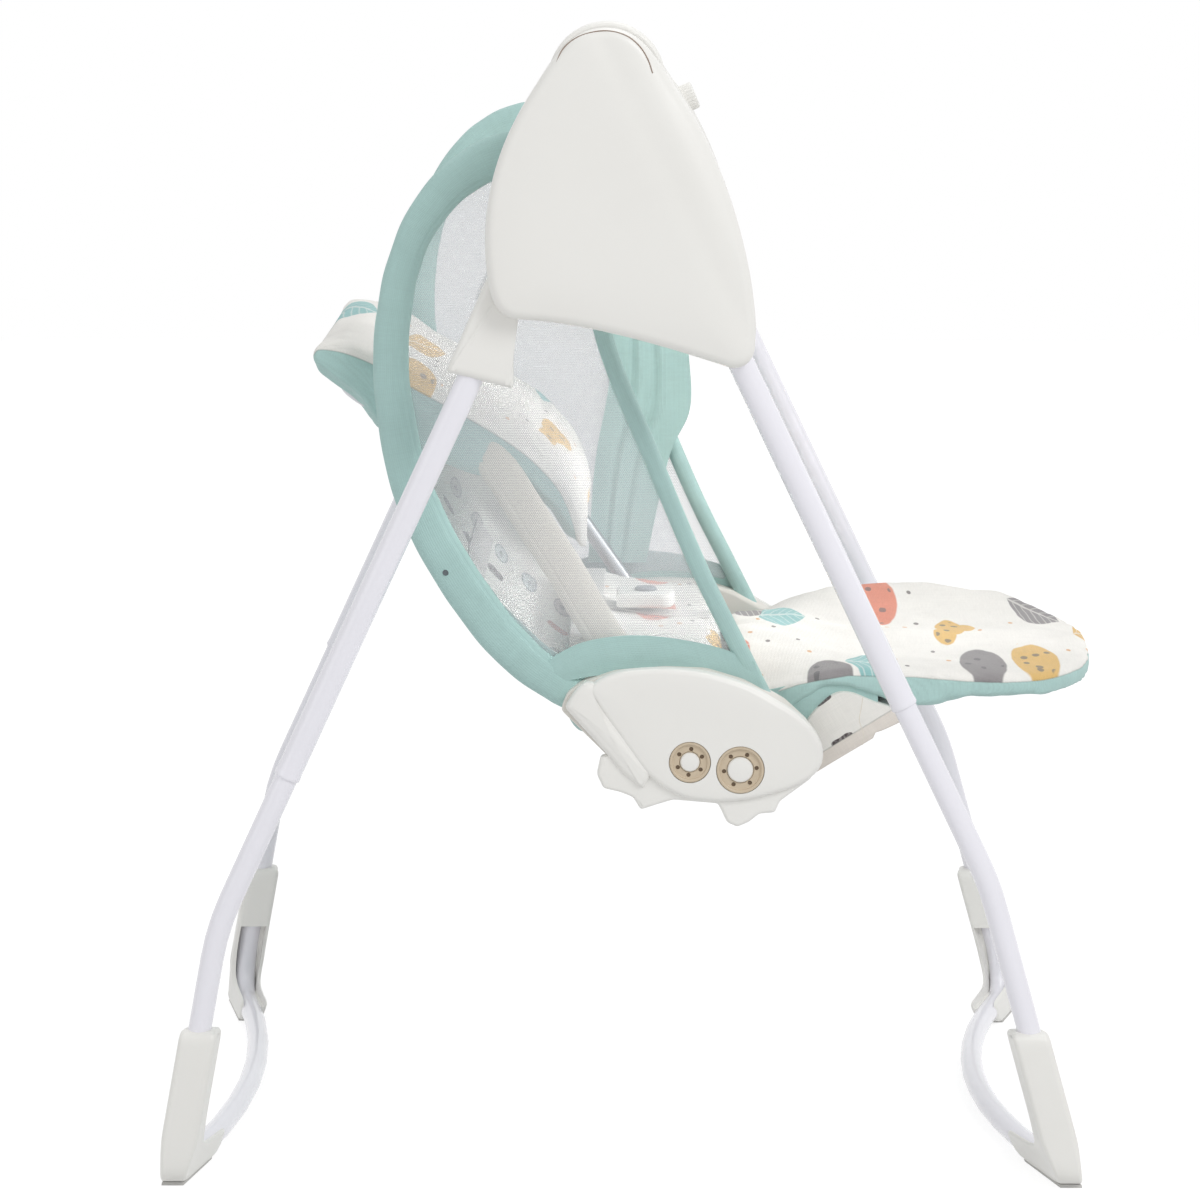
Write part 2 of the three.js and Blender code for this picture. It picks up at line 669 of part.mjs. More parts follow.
function baseInnerHousing() {
  const outline = baseInnerOutline();
  const body = plate(outline, -baseSplit + fit, -baseInner, 3);
  const sockets = [tube(loopLine, loopRadius + 3, 0, 8)];
  const bosses = rings.map((r) => disc(r.x, r.z, crossTubeRadius + 4, -far, 0, 12));
  const space = softPlate(outline, -baseSplit - 10, -baseInner - baseWall, 1, baseWall, 3, 1);
  const room = cut(space, ...sockets, ...bosses);
  const bore = loopBore();
  const holes = rings.map((r) => disc(r.x, r.z, crossTubeRadius + fit, -far, 0, 16));
  return cut(body, room, bore, ...holes);
}

// Beige ring set in the base's face: a dish with six radial slots and a boss in its middle.
function ringInsert(r) {
  const back = -baseOuter + ringDepth - fit;
  const face = -baseOuter + 2;
  const dish = join(disc(r.x, r.z, r.radius, face, back), disc(r.x, r.z, r.boss, -baseOuter + 0.6, back, 16));
  const slots = Array.from({ length: 6 }, (_, i) => {
    const slot = new THREE.BoxGeometry((r.radius - r.boss) * 0.5, 3, 2.2);
    const middle = (r.radius + r.boss) / 2;
    return slot.translate(middle, 0, 0).rotateY(i * Math.PI / 3 + Math.PI / 6).translate(r.x, face, r.z);
  });
  return cut(dish, ...slots);
}

function crossTube(r) {
  const end = baseOuter - ringDepth - fit;
  return rod(at(r.x, -end, r.z), at(r.x, end, r.z), crossTubeRadius, crossTubeRadius - crossTubeWall, 16);
}

// Moulded pan under the cushion, clipped on the two cross tubes by ribs.
function seatPan() {
  const floor = plate(polygon([
    [-30, panTop], [106, panTop], [110, panTop - panThickness], [-30, panTop - panThickness],
  ]), -panHalfWidth, panHalfWidth);
  const ribShape = polygon([[-24, 348], [104, 348], [92, 322], [62, 320], [24, 326]]);
  const outer = panHalfWidth - 6;
  const ribs = [-outer, -outer / 3, outer / 3, outer].map((y) => plate(ribShape, y - 2, y + 2));
  const saddles = rings.map((r) => disc(r.x, r.z, crossTubeRadius + fit, -far, far, 16));
  return cut(join(floor, ...ribs), ...saddles);
}

// ---------------------------------------------------------------- soft parts of the seat
function bandShape(points, thickness) {
  const top = [];
  const under = [];
  points.forEach((p, i) => {
    const before = points[Math.max(0, i - 1)];
    const after = points[Math.min(points.length - 1, i + 1)];
    const length = Math.hypot(after[0] - before[0], after[1] - before[1]);
    const nx = -(after[1] - before[1]) / length;
    const nz = (after[0] - before[0]) / length;
    top.push([p[0] + nx * thickness / 2, p[1] + nz * thickness / 2]);
    under.unshift([p[0] - nx * thickness / 2, p[1] - nz * thickness / 2]);
  });
  return polygon([...top, ...under]);
}

function bucketPanel() {
  const points = [[-178, 542], [-160, 500], [-132, 455], [-98, 416], [-69.5, 391.5]];
  const edge = loopPlane - loopRadius - fit;
  return plate(bandShape(points, bucketThickness), -edge, edge);
}

function seatCushion() {
  const shape = polygon([
    [-66, 392], [-52, 412], [-20, 408], [20, 402], [62, 400], [92, 392], [104, 372],
    [100, panTop + fit], [-34, panTop + fit], [-58, 376],
  ]);
  return softPlate(shape, -cushionHalfWidth, cushionHalfWidth, 4, 0, 4, 2);
}

function backCushion() {
  const points = [[-255, 625], [-222, 615], [-188, 597], [-148, 576], [-95, 541], [-66, 508], [-54, 476]];
  return softPlate(bandShape(points, cushionThickness), -cushionHalfWidth, cushionHalfWidth, 6, 0, 4, 2);
}

// A bent frame with a collar at each end, threaded on a cross tube.
function onCrossTube(frame, r, plane, collarRadius, half) {
  const collars = [-plane, plane].map((y) => disc(r.x, r.z, collarRadius, y - half, y + half));
  return cut(join(frame, ...collars), disc(r.x, r.z, crossTubeRadius + fit, -far, far, 16));
}

function backFrame() {
  const knee = at(-107, -backFramePlane, 518);
  const head = at(-240, -backFramePlane, 592);
  const across = (p) => at(p.x, -p.y, p.z);
  const foot = at(reclineX - 8, -backFramePlane, reclineZ + 10);
  const corners = [foot, knee, head, across(head), across(knee), across(foot)];
  const line = new BentLine(corners, [60, 40, 40, 60], 18);
  const bar = tube(line, backFrameRadius, 0, 8);
  return onCrossTube(bar, rings[0], backFramePlane, crossTubeRadius + 9, 6);
}

function legRestOutline() {
  const w = legRestHalfWidth;
  const shape = new THREE.Shape();
  shape.moveTo(112, -w * 0.93);
  shape.bezierCurveTo(170, -w * 1.02, 262, -w * 1.03, 318, -w * 0.86);
  shape.bezierCurveTo(364, -w * 0.66, 372, -w * 0.3, 372, 0);
  shape.bezierCurveTo(372, w * 0.3, 364, w * 0.66, 318, w * 0.86);
  shape.bezierCurveTo(262, w * 1.03, 170, w * 1.02, 112, w * 0.93);
  return shape;
}

function legRestPad() {
  return planSlab(legRestOutline(), legRestBottom, legRestBottom + legRestThickness, 5);
}

function legRestFrame() {
  const inset = legRestBarPlane;
  const barHeight = legRestBottom - fit - legRestBarRadius;
  const start = at(legHingeX + 9, -inset, legHingeZ + 8);
  const rise = at(150, -inset, barHeight);
  const tip = at(336, -inset + 40, barHeight);
  const across = (p) => at(p.x, -p.y, p.z);
  const corners = [start, rise, tip, across(tip), across(rise), across(start)];
  const line = new BentLine(corners, [50, 60, 60, 50], 18);
  return onCrossTube(tube(line, legRestBarRadius, 0, 8), rings[1], inset, crossTubeRadius + 8, 8);
}

function frontApron() {
  const underBar = legRestBottom - 2 * legRestBarRadius - 2 * fit;
  const shape = polygon([
    [112, 290], [199, 344], [236, underBar - 4], [236, underBar], [180, underBar],
    [150, underBar - 6], [126, 330], [114, 308],
  ]);
  return plate(shape, -legRestHalfWidth + 2, legRestHalfWidth - 2);
}

function armSleeve() {
  const shape = polygon([
    [-36, 700], [38, 690], [42, 548], [26, 536], [0, 410], [-48, 410], [-40, 500], [-26, 590],
  ]);
  const face = loopPlane - loopRadius - 3 * fit;
  return plate(shape, face - sleeveThickness, face);
}

// ---------------------------------------------------------------- harness
// Crotch strap and waist belt, lying on the cushion with their buckle.
function harnessStraps() {
  const lift = strapThickness / 2 + fit;
  const crotch = [[-50, 411.8], [-20, 408], [20, 402], [56, 400.3]].map(([x, z]) => [x, z + lift]);
  const waist = [[-56, 411.8], [-50, 411.8], [-30, 409.3]].map(([x, z]) => [x, z + lift]);
  return join(
    plate(bandShape(crotch, strapThickness), -strapWidth / 2, strapWidth / 2),
    plate(bandShape(waist, strapThickness), -cushionHalfWidth + 18, cushionHalfWidth - 18),
  );
}

const buckle = { x: 4, halfLength: 24, halfWidth: 23, bottom: 410.8, height: 12, button: 9, travel: 3 };

function buckleBody() {
  const { x, halfLength: l, halfWidth: w } = buckle;
  const shape = new THREE.Shape();
  shape.moveTo(x - l, -w);
  shape.lineTo(x + l * 0.6, -w);
  shape.quadraticCurveTo(x + l, -w, x + l, 0);
  shape.quadraticCurveTo(x + l, w, x + l * 0.6, w);
  shape.lineTo(x - l, w);
  const top = buckle.bottom + buckle.height;
  const pocket = new THREE.CylinderGeometry(buckle.button + fit, buckle.button + fit, 8, 20);
  return cut(planSlab(shape, buckle.bottom, top, 3, 4), pocket.rotateX(Math.PI / 2).translate(x, 0, top));
}

function buckleButton() {
  const top = buckle.bottom + buckle.height;
  const { button: r, travel } = buckle;
  const profile = [[0, -0.6], [r, -0.6], [r, travel - 1.4], [r - 1.5, travel - 0.2], [0, travel]];
  const button = new THREE.LatheGeometry(profile.map(([x, h]) => new THREE.Vector2(x, h)), 20);
  return button.rotateX(Math.PI / 2).translate(buckle.x, 0, top);
}

// ---------------------------------------------------------------- assembly
for (const [name, leg] of [['front', frontLeg], ['rear', rearLeg]]) {
  add(`${name}_floor_tube`, floorTube(leg), paintedTube);
  for (const side of sides) {
    add(`${name}_foot_pad_${side.name}`, onSide(side, footPad(leg)), rubber);
    add(`${name}_leg_tube_${side.name}`, placed(onSide(side, legTube(leg))), paintedTube);
    add(`${name}_boot_${side.name}`, onSide(side, boot(leg)), cream);
  }
}

for (const side of sides) {
  const put = (name, geometry, look) => add(`${name}_${side.name}`, placed(onSide(side, geometry)), look);
  put('hub_outer_cover', hubOuterCover(side), cream);
  put('hub_inner_cover', hubInnerCover(side), cream);
  put('fold_button', foldReleaseButton(), creamDeep);
  put('pivot_bush', pivotBush(side), steel);
  put('rear_hub_arm', rearHubArm(side), cream);
  put('hanger', hanger(), creamDeep);
  put('swing_axle', swingAxle(side), steel);
  put('side_loop', sideLoop(), steel);
  put('side_panel', sidePanel(), mesh);
  put('base_outer_housing', baseOuterHousing(), cream);
  put('base_inner_housing', baseInnerHousing(), creamDeep);
  for (const r of rings) put(`${r.name}_ring`, ringInsert(r), beige);
}

addDrive();
add('swing_crank', placed(swingCrank()), steel);
add('speed_dial', placed(speedDial()), creamDeep);

for (const r of rings) add(`${r.name}_cross_tube`, placed(crossTube(r)), steel);
add('seat_pan', placed(seatPan()), creamDeep);
add('bucket_panel', placed(bucketPanel()), print);
add('seat_cushion', placed(seatCushion()), print);
add('back_frame', placed(backFrame()), steel);
add('back_cushion', placed(backCushion()), print);
add('leg_rest_pad', placed(legRestPad()), print);
add('leg_rest_frame', placed(legRestFrame()), steel);
add('front_apron', placed(frontApron()), print);
add('left_arm_sleeve', placed(armSleeve()), mint);
add('harness_straps', placed(harnessStraps()), mint);
add('buckle', placed(buckleBody()), creamDeep);
add('buckle_button', placed(buckleButton()), grey);

export default object;
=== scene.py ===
"""Folding baby swing: the looks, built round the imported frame. Shapes are worked out in millimetres, in the
frame's own axes: +X front, +Y the baby's left, +Z up. Right-hand pieces are made first and mirrored."""
import math

import bpy
import numpy as np
from mathutils import Euler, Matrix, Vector


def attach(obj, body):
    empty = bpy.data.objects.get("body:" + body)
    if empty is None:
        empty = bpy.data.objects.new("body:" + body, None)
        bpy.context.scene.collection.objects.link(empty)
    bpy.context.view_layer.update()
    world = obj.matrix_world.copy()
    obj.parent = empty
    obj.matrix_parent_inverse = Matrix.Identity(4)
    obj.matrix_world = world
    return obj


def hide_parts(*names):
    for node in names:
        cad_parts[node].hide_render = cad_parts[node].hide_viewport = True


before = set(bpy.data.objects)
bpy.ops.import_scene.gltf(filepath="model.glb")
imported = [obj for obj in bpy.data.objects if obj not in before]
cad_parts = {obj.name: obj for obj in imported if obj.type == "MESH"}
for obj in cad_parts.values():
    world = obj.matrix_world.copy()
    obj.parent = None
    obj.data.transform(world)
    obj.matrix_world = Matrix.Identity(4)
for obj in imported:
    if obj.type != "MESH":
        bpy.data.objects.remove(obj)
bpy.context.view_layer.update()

PIVOT = (-26.0, 853.0)            # fold pivot and swing axle
LEG_PLANE = 285.0
RUN_HEIGHT = 12                   # the floor runs' middle line
HUB_INNER, HUB_SPLIT = 258.0, 268.0
LOOP_PLANE = 215.0
BASE_INNER, BASE_SPLIT, BASE_OUTER = 203.0, 233.0, 250.0
RECLINE = (38.0, 328.0)
LEG_HINGE = (77.0, 322.0)
FRONT_LEG = dict(forward=1, slope=0.479, top=165, length=361, knee=240, foot=331.0, bow=88, bend=780)
REAR_LEG = dict(forward=-1, slope=0.462, top=176, length=408, knee=205, foot=-361.0, bow=62, bend=1100)
LOOP_POINTS = [
    (-26, 362), (-52, 377), (-90, 401), (-128, 440), (-160, 488), (-182, 540), (-192, 592), (-194, 645),
    (-185, 704), (-162, 755), (-131, 787), (-99, 800), (-68, 796), (-50, 777), (-42, 735), (-29, 655),
    (10, 557), (48, 468), (76, 412), (98, 368),
]


# ---------------------------------------------------------------- lines and outlines
def unit(v):
    """Each vector divided by its length."""
    return v / np.maximum(np.linalg.norm(v, axis=-1, keepdims=True), 1e-9)


def smooth(low, high, x):
    """0 below low, 1 above high, and 3t^2 - 2t^3 between."""
    t = np.clip((x - low) / (high - low), 0, 1)
    return t * t * (3 - 2 * t)


def even(points, count, closed=False):
    """The same line with count points at equal steps of its length."""
    p = np.asarray(points, float)
    if closed:
        p = np.vstack([p, p[:1]])
    s = np.r_[0, np.cumsum(np.linalg.norm(np.diff(p, axis=0), axis=1))]
    want = np.linspace(0, s[-1], count + 1)[:-1] if closed else np.linspace(0, s[-1], count)
    return np.stack([np.interp(want, s, p[:, k]) for k in range(p.shape[1])], 1)


def spline(points, count, closed=False):
    """Smooth curve through the points, evenly spaced. On each span the ends' slopes come from the
    neighbouring points, weighed by the square roots of their distances, and a cubic joins them:
    b + ut + (3(c - b) - 2u - v)t^2 + (2(b - c) + u + v)t^3."""
    p = np.asarray(points, float)
    p = np.vstack([p[-1:], p, p[:2]]) if closed else np.vstack([2 * p[0] - p[1], p, 2 * p[-1] - p[-2]])
    root = np.sqrt(np.linalg.norm(np.diff(p, axis=0), axis=1))[:, None]
    rise = np.diff(p, axis=0)
    k0, k1, k2 = root[:-2], root[1:-1], root[2:]
    r0, r1, r2 = rise[:-2], rise[1:-1], rise[2:]
    u = ((r0 / k0 - (r0 + r1) / (k0 + k1) + r1 / k1) * k1)[:, None]
    v = ((r1 / k1 - (r1 + r2) / (k1 + k2) + r2 / k2) * k1)[:, None]
    b, c = p[1:-2, None], p[2:-1, None]
    t = np.linspace(0, 1, 24, endpoint=False)[None, :, None]
    q = b + u * t + (3 * (c - b) - 2 * u - v) * t**2 + (2 * (b - c) + u + v) * t**3
    q = q.reshape(-1, p.shape[1])
    return even(q if closed else np.vstack([q, p[-2]]), count, closed)


def bezier(*spans, count=24):
    """Cubic curves set end to end: (1-t)^3 a + 3(1-t)^2 t b + 3(1-t) t^2 c + t^3 d."""
    t = np.linspace(0, 1, count, endpoint=False)[:, None]
    out = [(1 - t)**3 * a + 3 * (1 - t)**2 * t * b + 3 * (1 - t) * t**2 * c + t**3 * d
           for a, b, c, d in np.asarray(spans, float)]
    return np.vstack(out)


def soften(outline, width):
    """A closed outline averaged along its own length with a bell curve of that width."""
    p = np.asarray(outline, float)
    around = np.linalg.norm(np.diff(np.vstack([p, p[:1]]), axis=0), axis=1).sum()
    wave = np.exp(-0.5 * (2 * np.pi * np.fft.fftfreq(len(p), around / len(p)) * width)**2)
    return np.fft.ifft(np.fft.fft(p[:, 0] + 1j * p[:, 1]) * wave).view(float).reshape(-1, 2)


def anticlockwise(p):
    x, z = p[:, 0], p[:, 1]
    return p if np.sum(x * np.roll(z, -1) - z * np.roll(x, -1)) > 0 else p[::-1]


def outward(p):
    """Unit normals of a closed anticlockwise outline: its direction turned a quarter clockwise."""
    d = unit(np.roll(p, -1, 0) - np.roll(p, 1, 0))
    return np.stack([d[:, 1], -d[:, 0]], 1)


def circle(x, z, radius, count=48):
    a = np.linspace(0, 2 * np.pi, count, endpoint=False)
    return np.stack([x + radius * np.cos(a), z + radius * np.sin(a)], 1)


def bent(corners, radii, step=8.0):
    """Straight runs joined by arcs: each arc starts radius * tan(turn / 2) before its corner."""
    c = np.asarray(corners, float)
    rows = [c[:1]]
    for before, corner, after, radius in zip(c[:-2], c[1:-1], c[2:], radii):
        d0, d1 = unit(corner - before), unit(after - corner)
        turn = math.acos(float(np.clip(d0 @ d1, -1, 1)))
        across = unit(d1 - (d1 @ d0) * d0)
        a = np.linspace(0, turn, max(4, int(math.degrees(turn) / 3)))[:, None]
        start = corner - d0 * radius * math.tan(turn / 2)
        rows.append(start + d0 * radius * np.sin(a) + across * radius * (1 - np.cos(a)))
    line = np.vstack(rows + [c[-1:]])
    length = np.linalg.norm(np.diff(line, axis=0), axis=1).sum()
    return even(line, int(length / step) + 2)


# ---------------------------------------------------------------- meshes
def grid_faces(rows, columns, around):
    """Quads between neighbouring rows and columns; around also joins the last column to the first."""
    r, c = np.meshgrid(np.arange(rows - 1), np.arange(columns if around else columns - 1), indexing="ij")
    n = (c + 1) % columns
    quads = np.stack([r * columns + c, r * columns + n, (r + 1) * columns + n, (r + 1) * columns + c], -1)
    at_row = np.stack([r, r, r + 1, r + 1], -1).reshape(-1, 4)
    at_column = np.stack([c, c + 1, c + 1, c], -1).reshape(-1, 4)
    return quads.reshape(-1, 4), at_row, at_column


def make(name, verts, quads, tris=(), uv=None, sharp=35, whole=()):
    """A mesh object from points in millimetres. Its faces are turned to point outwards if its volume, the
    sum of a . (b x c) / 6 over its triangles, comes out negative. uv is per face corner, in metres. whole
    holds the many-sided faces."""
    v = np.asarray(verts, float) * 0.001
    quads = np.asarray(quads, int).reshape(-1, 4)
    tris = np.asarray(tris, int).reshape(-1, 3)
    fans = [np.stack([np.full(len(w) - 2, w[0]), w[1:-1], w[2:]], 1) for w in whole]
    split = np.vstack([quads[:, [0, 1, 2]], quads[:, [0, 2, 3]], tris] + fans)
    volume = np.einsum("ij,ij->i", v[split[:, 0]], np.cross(v[split[:, 1]], v[split[:, 2]])).sum()
    if volume < 0:
        quads, tris, whole = quads[:, ::-1], tris[:, ::-1], [w[::-1] for w in whole]
        uv = None if uv is None else uv[:, ::-1]
    mesh = bpy.data.meshes.new(name)
    mesh.from_pydata(v.tolist(), [], quads.tolist() + tris.tolist() + [w.tolist() for w in whole])
    if uv is not None:
        spare = len(tris) * 3 + sum(len(w) for w in whole)
        corners = np.vstack([uv.reshape(-1, 2), np.zeros((spare, 2))])
        mesh.uv_layers.new(name="UVMap").data.foreach_set("uv", corners.astype(np.float32).ravel())
    mesh.polygons.foreach_set("use_smooth", np.ones(len(mesh.polygons), bool))
    mesh.update()
    if sharp:
        mesh.set_sharp_from_angle(angle=math.radians(sharp))
    obj = bpy.data.objects.new(name, mesh)
    bpy.context.scene.collection.objects.link(obj)
    return obj


def closed_grid(name, grid, around=True, sharp=35, uv=None, flat=()):
    """Rows of points, joined round each row, with the first and last rows closed to their middles, or by one
    flat face where flat names them. uv has one column more than the grid, so that the seam keeps its
    scale."""
    rows, columns = grid.shape[:2]
    quads, r, c = grid_faces(rows, columns, around)
    verts = grid.reshape(-1, 3)
    ring = np.arange(columns)
    after = np.roll(ring, -1)
    last = (rows - 1) * columns
    tris, whole = [], []
    for start, end, turned in ((0, "first", True), (last, "last", False)):
        if end in flat:
            whole.append((ring[::-1] if turned else ring) + start)
            continue
        middle = np.full(columns, len(verts))
        verts = np.vstack([verts, verts[ring + start].mean(0)])
        pair = (after + start, ring + start) if turned else (ring + start, after + start)
        tris.append(np.stack([*pair, middle], 1))
    corners = None if uv is None else uv[r, c]
    return make(name, verts, quads, np.vstack(tris) if tris else (), corners, sharp, whole)


def mirrored(side, grid):
    """The right-hand grid, or its mirror image in Y for the left."""
    return grid if side == "right" else grid * np.array([1, -1, 1])


def sweep(path, section, reference):
    """A section (first, second) carried along a path. The first axis is the reference direction made square
    to the path, and the second is the path's direction crossed with it."""
    tangent = unit(np.gradient(path, axis=0))
    ref = np.broadcast_to(np.asarray(reference, float), path.shape)
    first = unit(ref - (ref * tangent).sum(1, keepdims=True) * tangent)
    second = np.cross(tangent, first)
    section = np.broadcast_to(section, (len(path),) + np.shape(section)[-2:])
    return path[:, None] + first[:, None] * section[..., :1] + second[:, None] * section[..., 1:]


def rounded_ends(path, radius, edge):
    """Radii and a path with extra stations, so that each end is rounded by a quarter circle of that edge."""
    a = np.linspace(0, np.pi / 2, 5)
    t0, t1 = unit(path[1] - path[0]), unit(path[-1] - path[-2])
    head = path[0] + t0 * (edge * (1 - np.cos(a)))[:, None]
    tail = path[-1] - t1 * (edge * (1 - np.cos(a)))[::-1][:, None]
    radii = radius - edge + edge * np.sin(a)
    inner = path[1:-1]
    return np.vstack([head, inner, tail]), np.r_[radii, np.full(len(inner), radius), radii[::-1]]


def tube(name, side, path, radius, reference=(1, 0, 0), edge=0.8, count=32):
    """A round bar along a path with rounded ends."""
    path, radii = rounded_ends(np.asarray(path, float), radius, edge)
    section = circle(0, 0, 1, count)[None] * radii[:, None, None]
    return closed_grid(name, mirrored(side, sweep(path, section, reference)), sharp=60)


def moulding(name, side, outline, back, face, edge=4.0, back_edge=1.0, crown=0.0, power=2.0, centre=None,
             relief=None):
    """A moulded body seen from the side. The rows run round the edge of its flat back, up the wall, round
    the front edge by a quarter circle, and, where it has a crown, over the face, whose distance from the
    middle plane is face + crown * (1 - s^power), where s runs from 1 at the rim to 0 at the centre.
    relief(x, z) lowers the face, and fades out down the wall."""
    p = anticlockwise(outline)
    n = outward(p)
    c = p.mean(0) if centre is None else np.asarray(centre, float)
    a = np.linspace(0, np.pi / 2, 7)
    rows = [(p - n * back_edge * (1 - np.sin(t)), back + back_edge * (1 - np.cos(t))) for t in a]
    rows += [(p, y) for y in np.linspace(back + back_edge, face - edge, 5)[1:-1]]
    rows += [(p - n * edge * (1 - np.cos(t)), face - edge * (1 - np.sin(t))) for t in a]
    rim = p - n * edge
    if crown:
        shares = np.r_[0.985, 0.96, 0.93, 0.89, 0.84, 0.78, np.linspace(0.7, 0.05, 9)]
        rows += [(c + (rim - c) * s, face + crown * (1 - s**power)) for s in shares]
    grid = np.stack([np.column_stack([q[:, 0], np.full(len(q), -y), q[:, 1]]) for q, y in rows])
    if relief:
        fade = smooth(back + (face - back) * 0.4, face, -grid[..., 1])
        grid[..., 1] += relief(grid[..., 0], grid[..., 2]) * fade
    return closed_grid(name, mirrored(side, grid), sharp=40, flat=("first",) if crown else ("first", "last"))


def prism(name, side, outline, y0, y1):
    """A straight-sided block from an outline."""
    p = anticlockwise(outline)
    grid = np.stack([np.column_stack([p[:, 0], np.full(len(p), -y), p[:, 1]]) for y in (y0, y1)])
    return closed_grid(name, mirrored(side, grid), sharp=30, flat=("first", "last"))


def hoop(name, grid, sharp=35):
    """Rows of points joined round each row, and the last row to the first."""
    rows, columns = grid.shape[:2]
    quads = grid_faces(rows + 1, columns, True)[0] % (rows * columns)
    return make(name, grid.reshape(-1, 3), quads, sharp=sharp)


def lathe(name, side, profile, origin, axis, count=48, bored=False):
    """A profile of (radius, distance along the axis) turned about the axis. A bored one closes on itself."""
    axis = unit(np.asarray(axis, float))
    first = unit(np.cross(axis, (0.3, 0.2, 0.9)))
    second = np.cross(axis, first)
    a = np.linspace(0, 2 * np.pi, count, endpoint=False)
    turn = np.cos(a)[:, None] * first + np.sin(a)[:, None] * second
    profile = np.asarray(profile, float)
    grid = np.asarray(origin, float) + profile[:, :1, None] * turn + (profile[:, 1:] * axis)[:, None]
    return (hoop if bored else closed_grid)(name, mirrored(side, grid), sharp=30)


def points_of(obj):
    """The points of an object's mesh, in metres."""
    flat = np.zeros(len(obj.data.vertices) * 3)
    obj.data.vertices.foreach_get("co", flat)
    return flat.reshape(-1, 3)


def evaluated(obj):
    """Applies the live modifiers of an object to its mesh."""
    graph = bpy.context.evaluated_depsgraph_get()
    mesh = bpy.data.meshes.new_from_object(obj.evaluated_get(graph))
    obj.modifiers.clear()
    obj.data = mesh


def carve(obj, *cutters, sharp=40):
    """Cuts closed bodies out of an object, and removes them."""
    for cutter in cutters:
        modifier = obj.modifiers.new("cut", "BOOLEAN")
        modifier.operation, modifier.solver, modifier.object = "DIFFERENCE", "EXACT", cutter
    evaluated(obj)
    for cutter in cutters:
        bpy.data.objects.remove(cutter)
    obj.data.polygons.foreach_set("use_smooth", np.ones(len(obj.data.polygons), bool))
    obj.data.set_sharp_from_angle(angle=math.radians(sharp))


def settle(obj, body, finish, slot, *nodes):
    """Gives a piece its material and its body, and hides the CAD nodes that it stands for; its slot is not
    used.
    """
    obj.data.materials.clear()
    obj.data.materials.append(finish)
    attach(obj, body)
    if nodes:
        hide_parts(*nodes)


# ---------------------------------------------------------------- finishes, shared groups
class Value:
    """A number, vector or colour in a node group. Each +, -, *, /, ** and comparison adds one node."""

    def __init__(self, group, socket):
        self.group, self.socket = group, socket
        self.wide = socket.type in ("VECTOR", "RGBA")

    def __add__(self, other):
        return self.group.work("ADD", self, other)

    def __sub__(self, other):
        return self.group.work("SUBTRACT", self, other)

    def __rsub__(self, other):
        return self.group.work("SUBTRACT", other, self)

    def __mul__(self, other):
        return self.group.work("MULTIPLY", self, other)

    def __truediv__(self, other):
        return self.group.work("DIVIDE", self, other)

    def __rtruediv__(self, other):
        return self.group.work("DIVIDE", other, self)

    def __pow__(self, other):
        return self.group.work("POWER", self, other)

    def __abs__(self):
        return self.group.work("ABSOLUTE", self)

    def __gt__(self, other):
        return self.group.work("GREATER_THAN", self, other)

    def __lt__(self, other):
        return self.group.work("LESS_THAN", self, other)


class Group:
    """A node group: g["Name"] reads an input, g["Name"] = value sends a value to an output, and each method
    adds a node and gives its result as a value."""

    def __init__(self, name, inputs, outputs):
        self.tree = bpy.data.node_groups.new(name, "ShaderNodeTree")
        for label, kind, value in inputs:
            socket = self.tree.interface.new_socket(label, in_out="INPUT", socket_type="NodeSocket" + kind)
            if value is not None:
                socket.default_value = value
        for label, kind in outputs:
            self.tree.interface.new_socket(label, in_out="OUTPUT", socket_type="NodeSocket" + kind)
        self.given = self.tree.nodes.new("NodeGroupInput").outputs
        self.result = self.tree.nodes.new("NodeGroupOutput").inputs

    def __getitem__(self, name):
        return Value(self, self.given[name])

    def __setitem__(self, name, value):
        self.tree.links.new(value.socket, self.result[name])

    def node(self, kind, values=(), output=0, **settings):
        return Value(self, add_node(self.tree, kind, values, **settings).outputs[output])

    def work(self, operation, *values):
        """A Math node, or a VectorMath node where one of the values is a vector."""
        wide = any(isinstance(v, tuple) or getattr(v, "wide", False) for v in values)
        if wide:
            values = [(v, v, v) if isinstance(v, float) else v for v in values]
        return self.node("VectorMath" if wide else "Math", enumerate(values), operation=operation)

    def length(self, vector):
        return self.node("VectorMath", [(0, vector)], "Value", operation="LENGTH")

    def parts(self, vector):
        """The three numbers of a vector or a colour."""
        return [Value(self, socket) for socket in add_node(self.tree, "SeparateXYZ", [(0, vector)]).outputs]

    def step(self, value, low, high):
        """A smooth step of value from 0 at low to 1 at high."""
        pairs = [("Value", value), ("From Min", low), ("From Max", high)]
        return self.node("MapRange", pairs, interpolation_type="SMOOTHSTEP")

    def choose(self, amount, first, second):
        """The first number where amount is 0, and the second where it is 1."""
        return self.node("Mix", [(0, amount), (2, first), (3, second)])

    def mix(self, amount, first, second):
        return Value(self, mix_colour(self.tree, amount, first, second))

    def noise(self, vector, scale, detail=3.0, rough=0.5, output=0):
        pairs = [("Vector", vector), ("Scale", scale), ("Detail", detail), ("Roughness", rough)]
        return self.node("TexNoise", pairs, output)

    def unsteady(self, scale, reach):
        """The group's own place flattened to its first two axes, and shaken a little, as a brush shakes."""
        at = self["Vector"] * (1.0, 1.0, 0.0)
        return at + (self.noise(at, scale, 2.0, output="Color") - (0.5, 0.5, 0.5)) * (reach, reach, 0.0)

    def cell(self, at, pitch, scatter):
        """The nearest cell of a loose scatter: the place in it, in pitches, and its own random numbers."""
        at = at / pitch
        pairs = [("Vector", at), ("Scale", 1.0), ("Randomness", scatter)]
        cells = add_node(self.tree, "TexVoronoi", pairs, voronoi_dimensions="2D").outputs
        return at - Value(self, cells["Position"]), self.parts(cells["Color"])


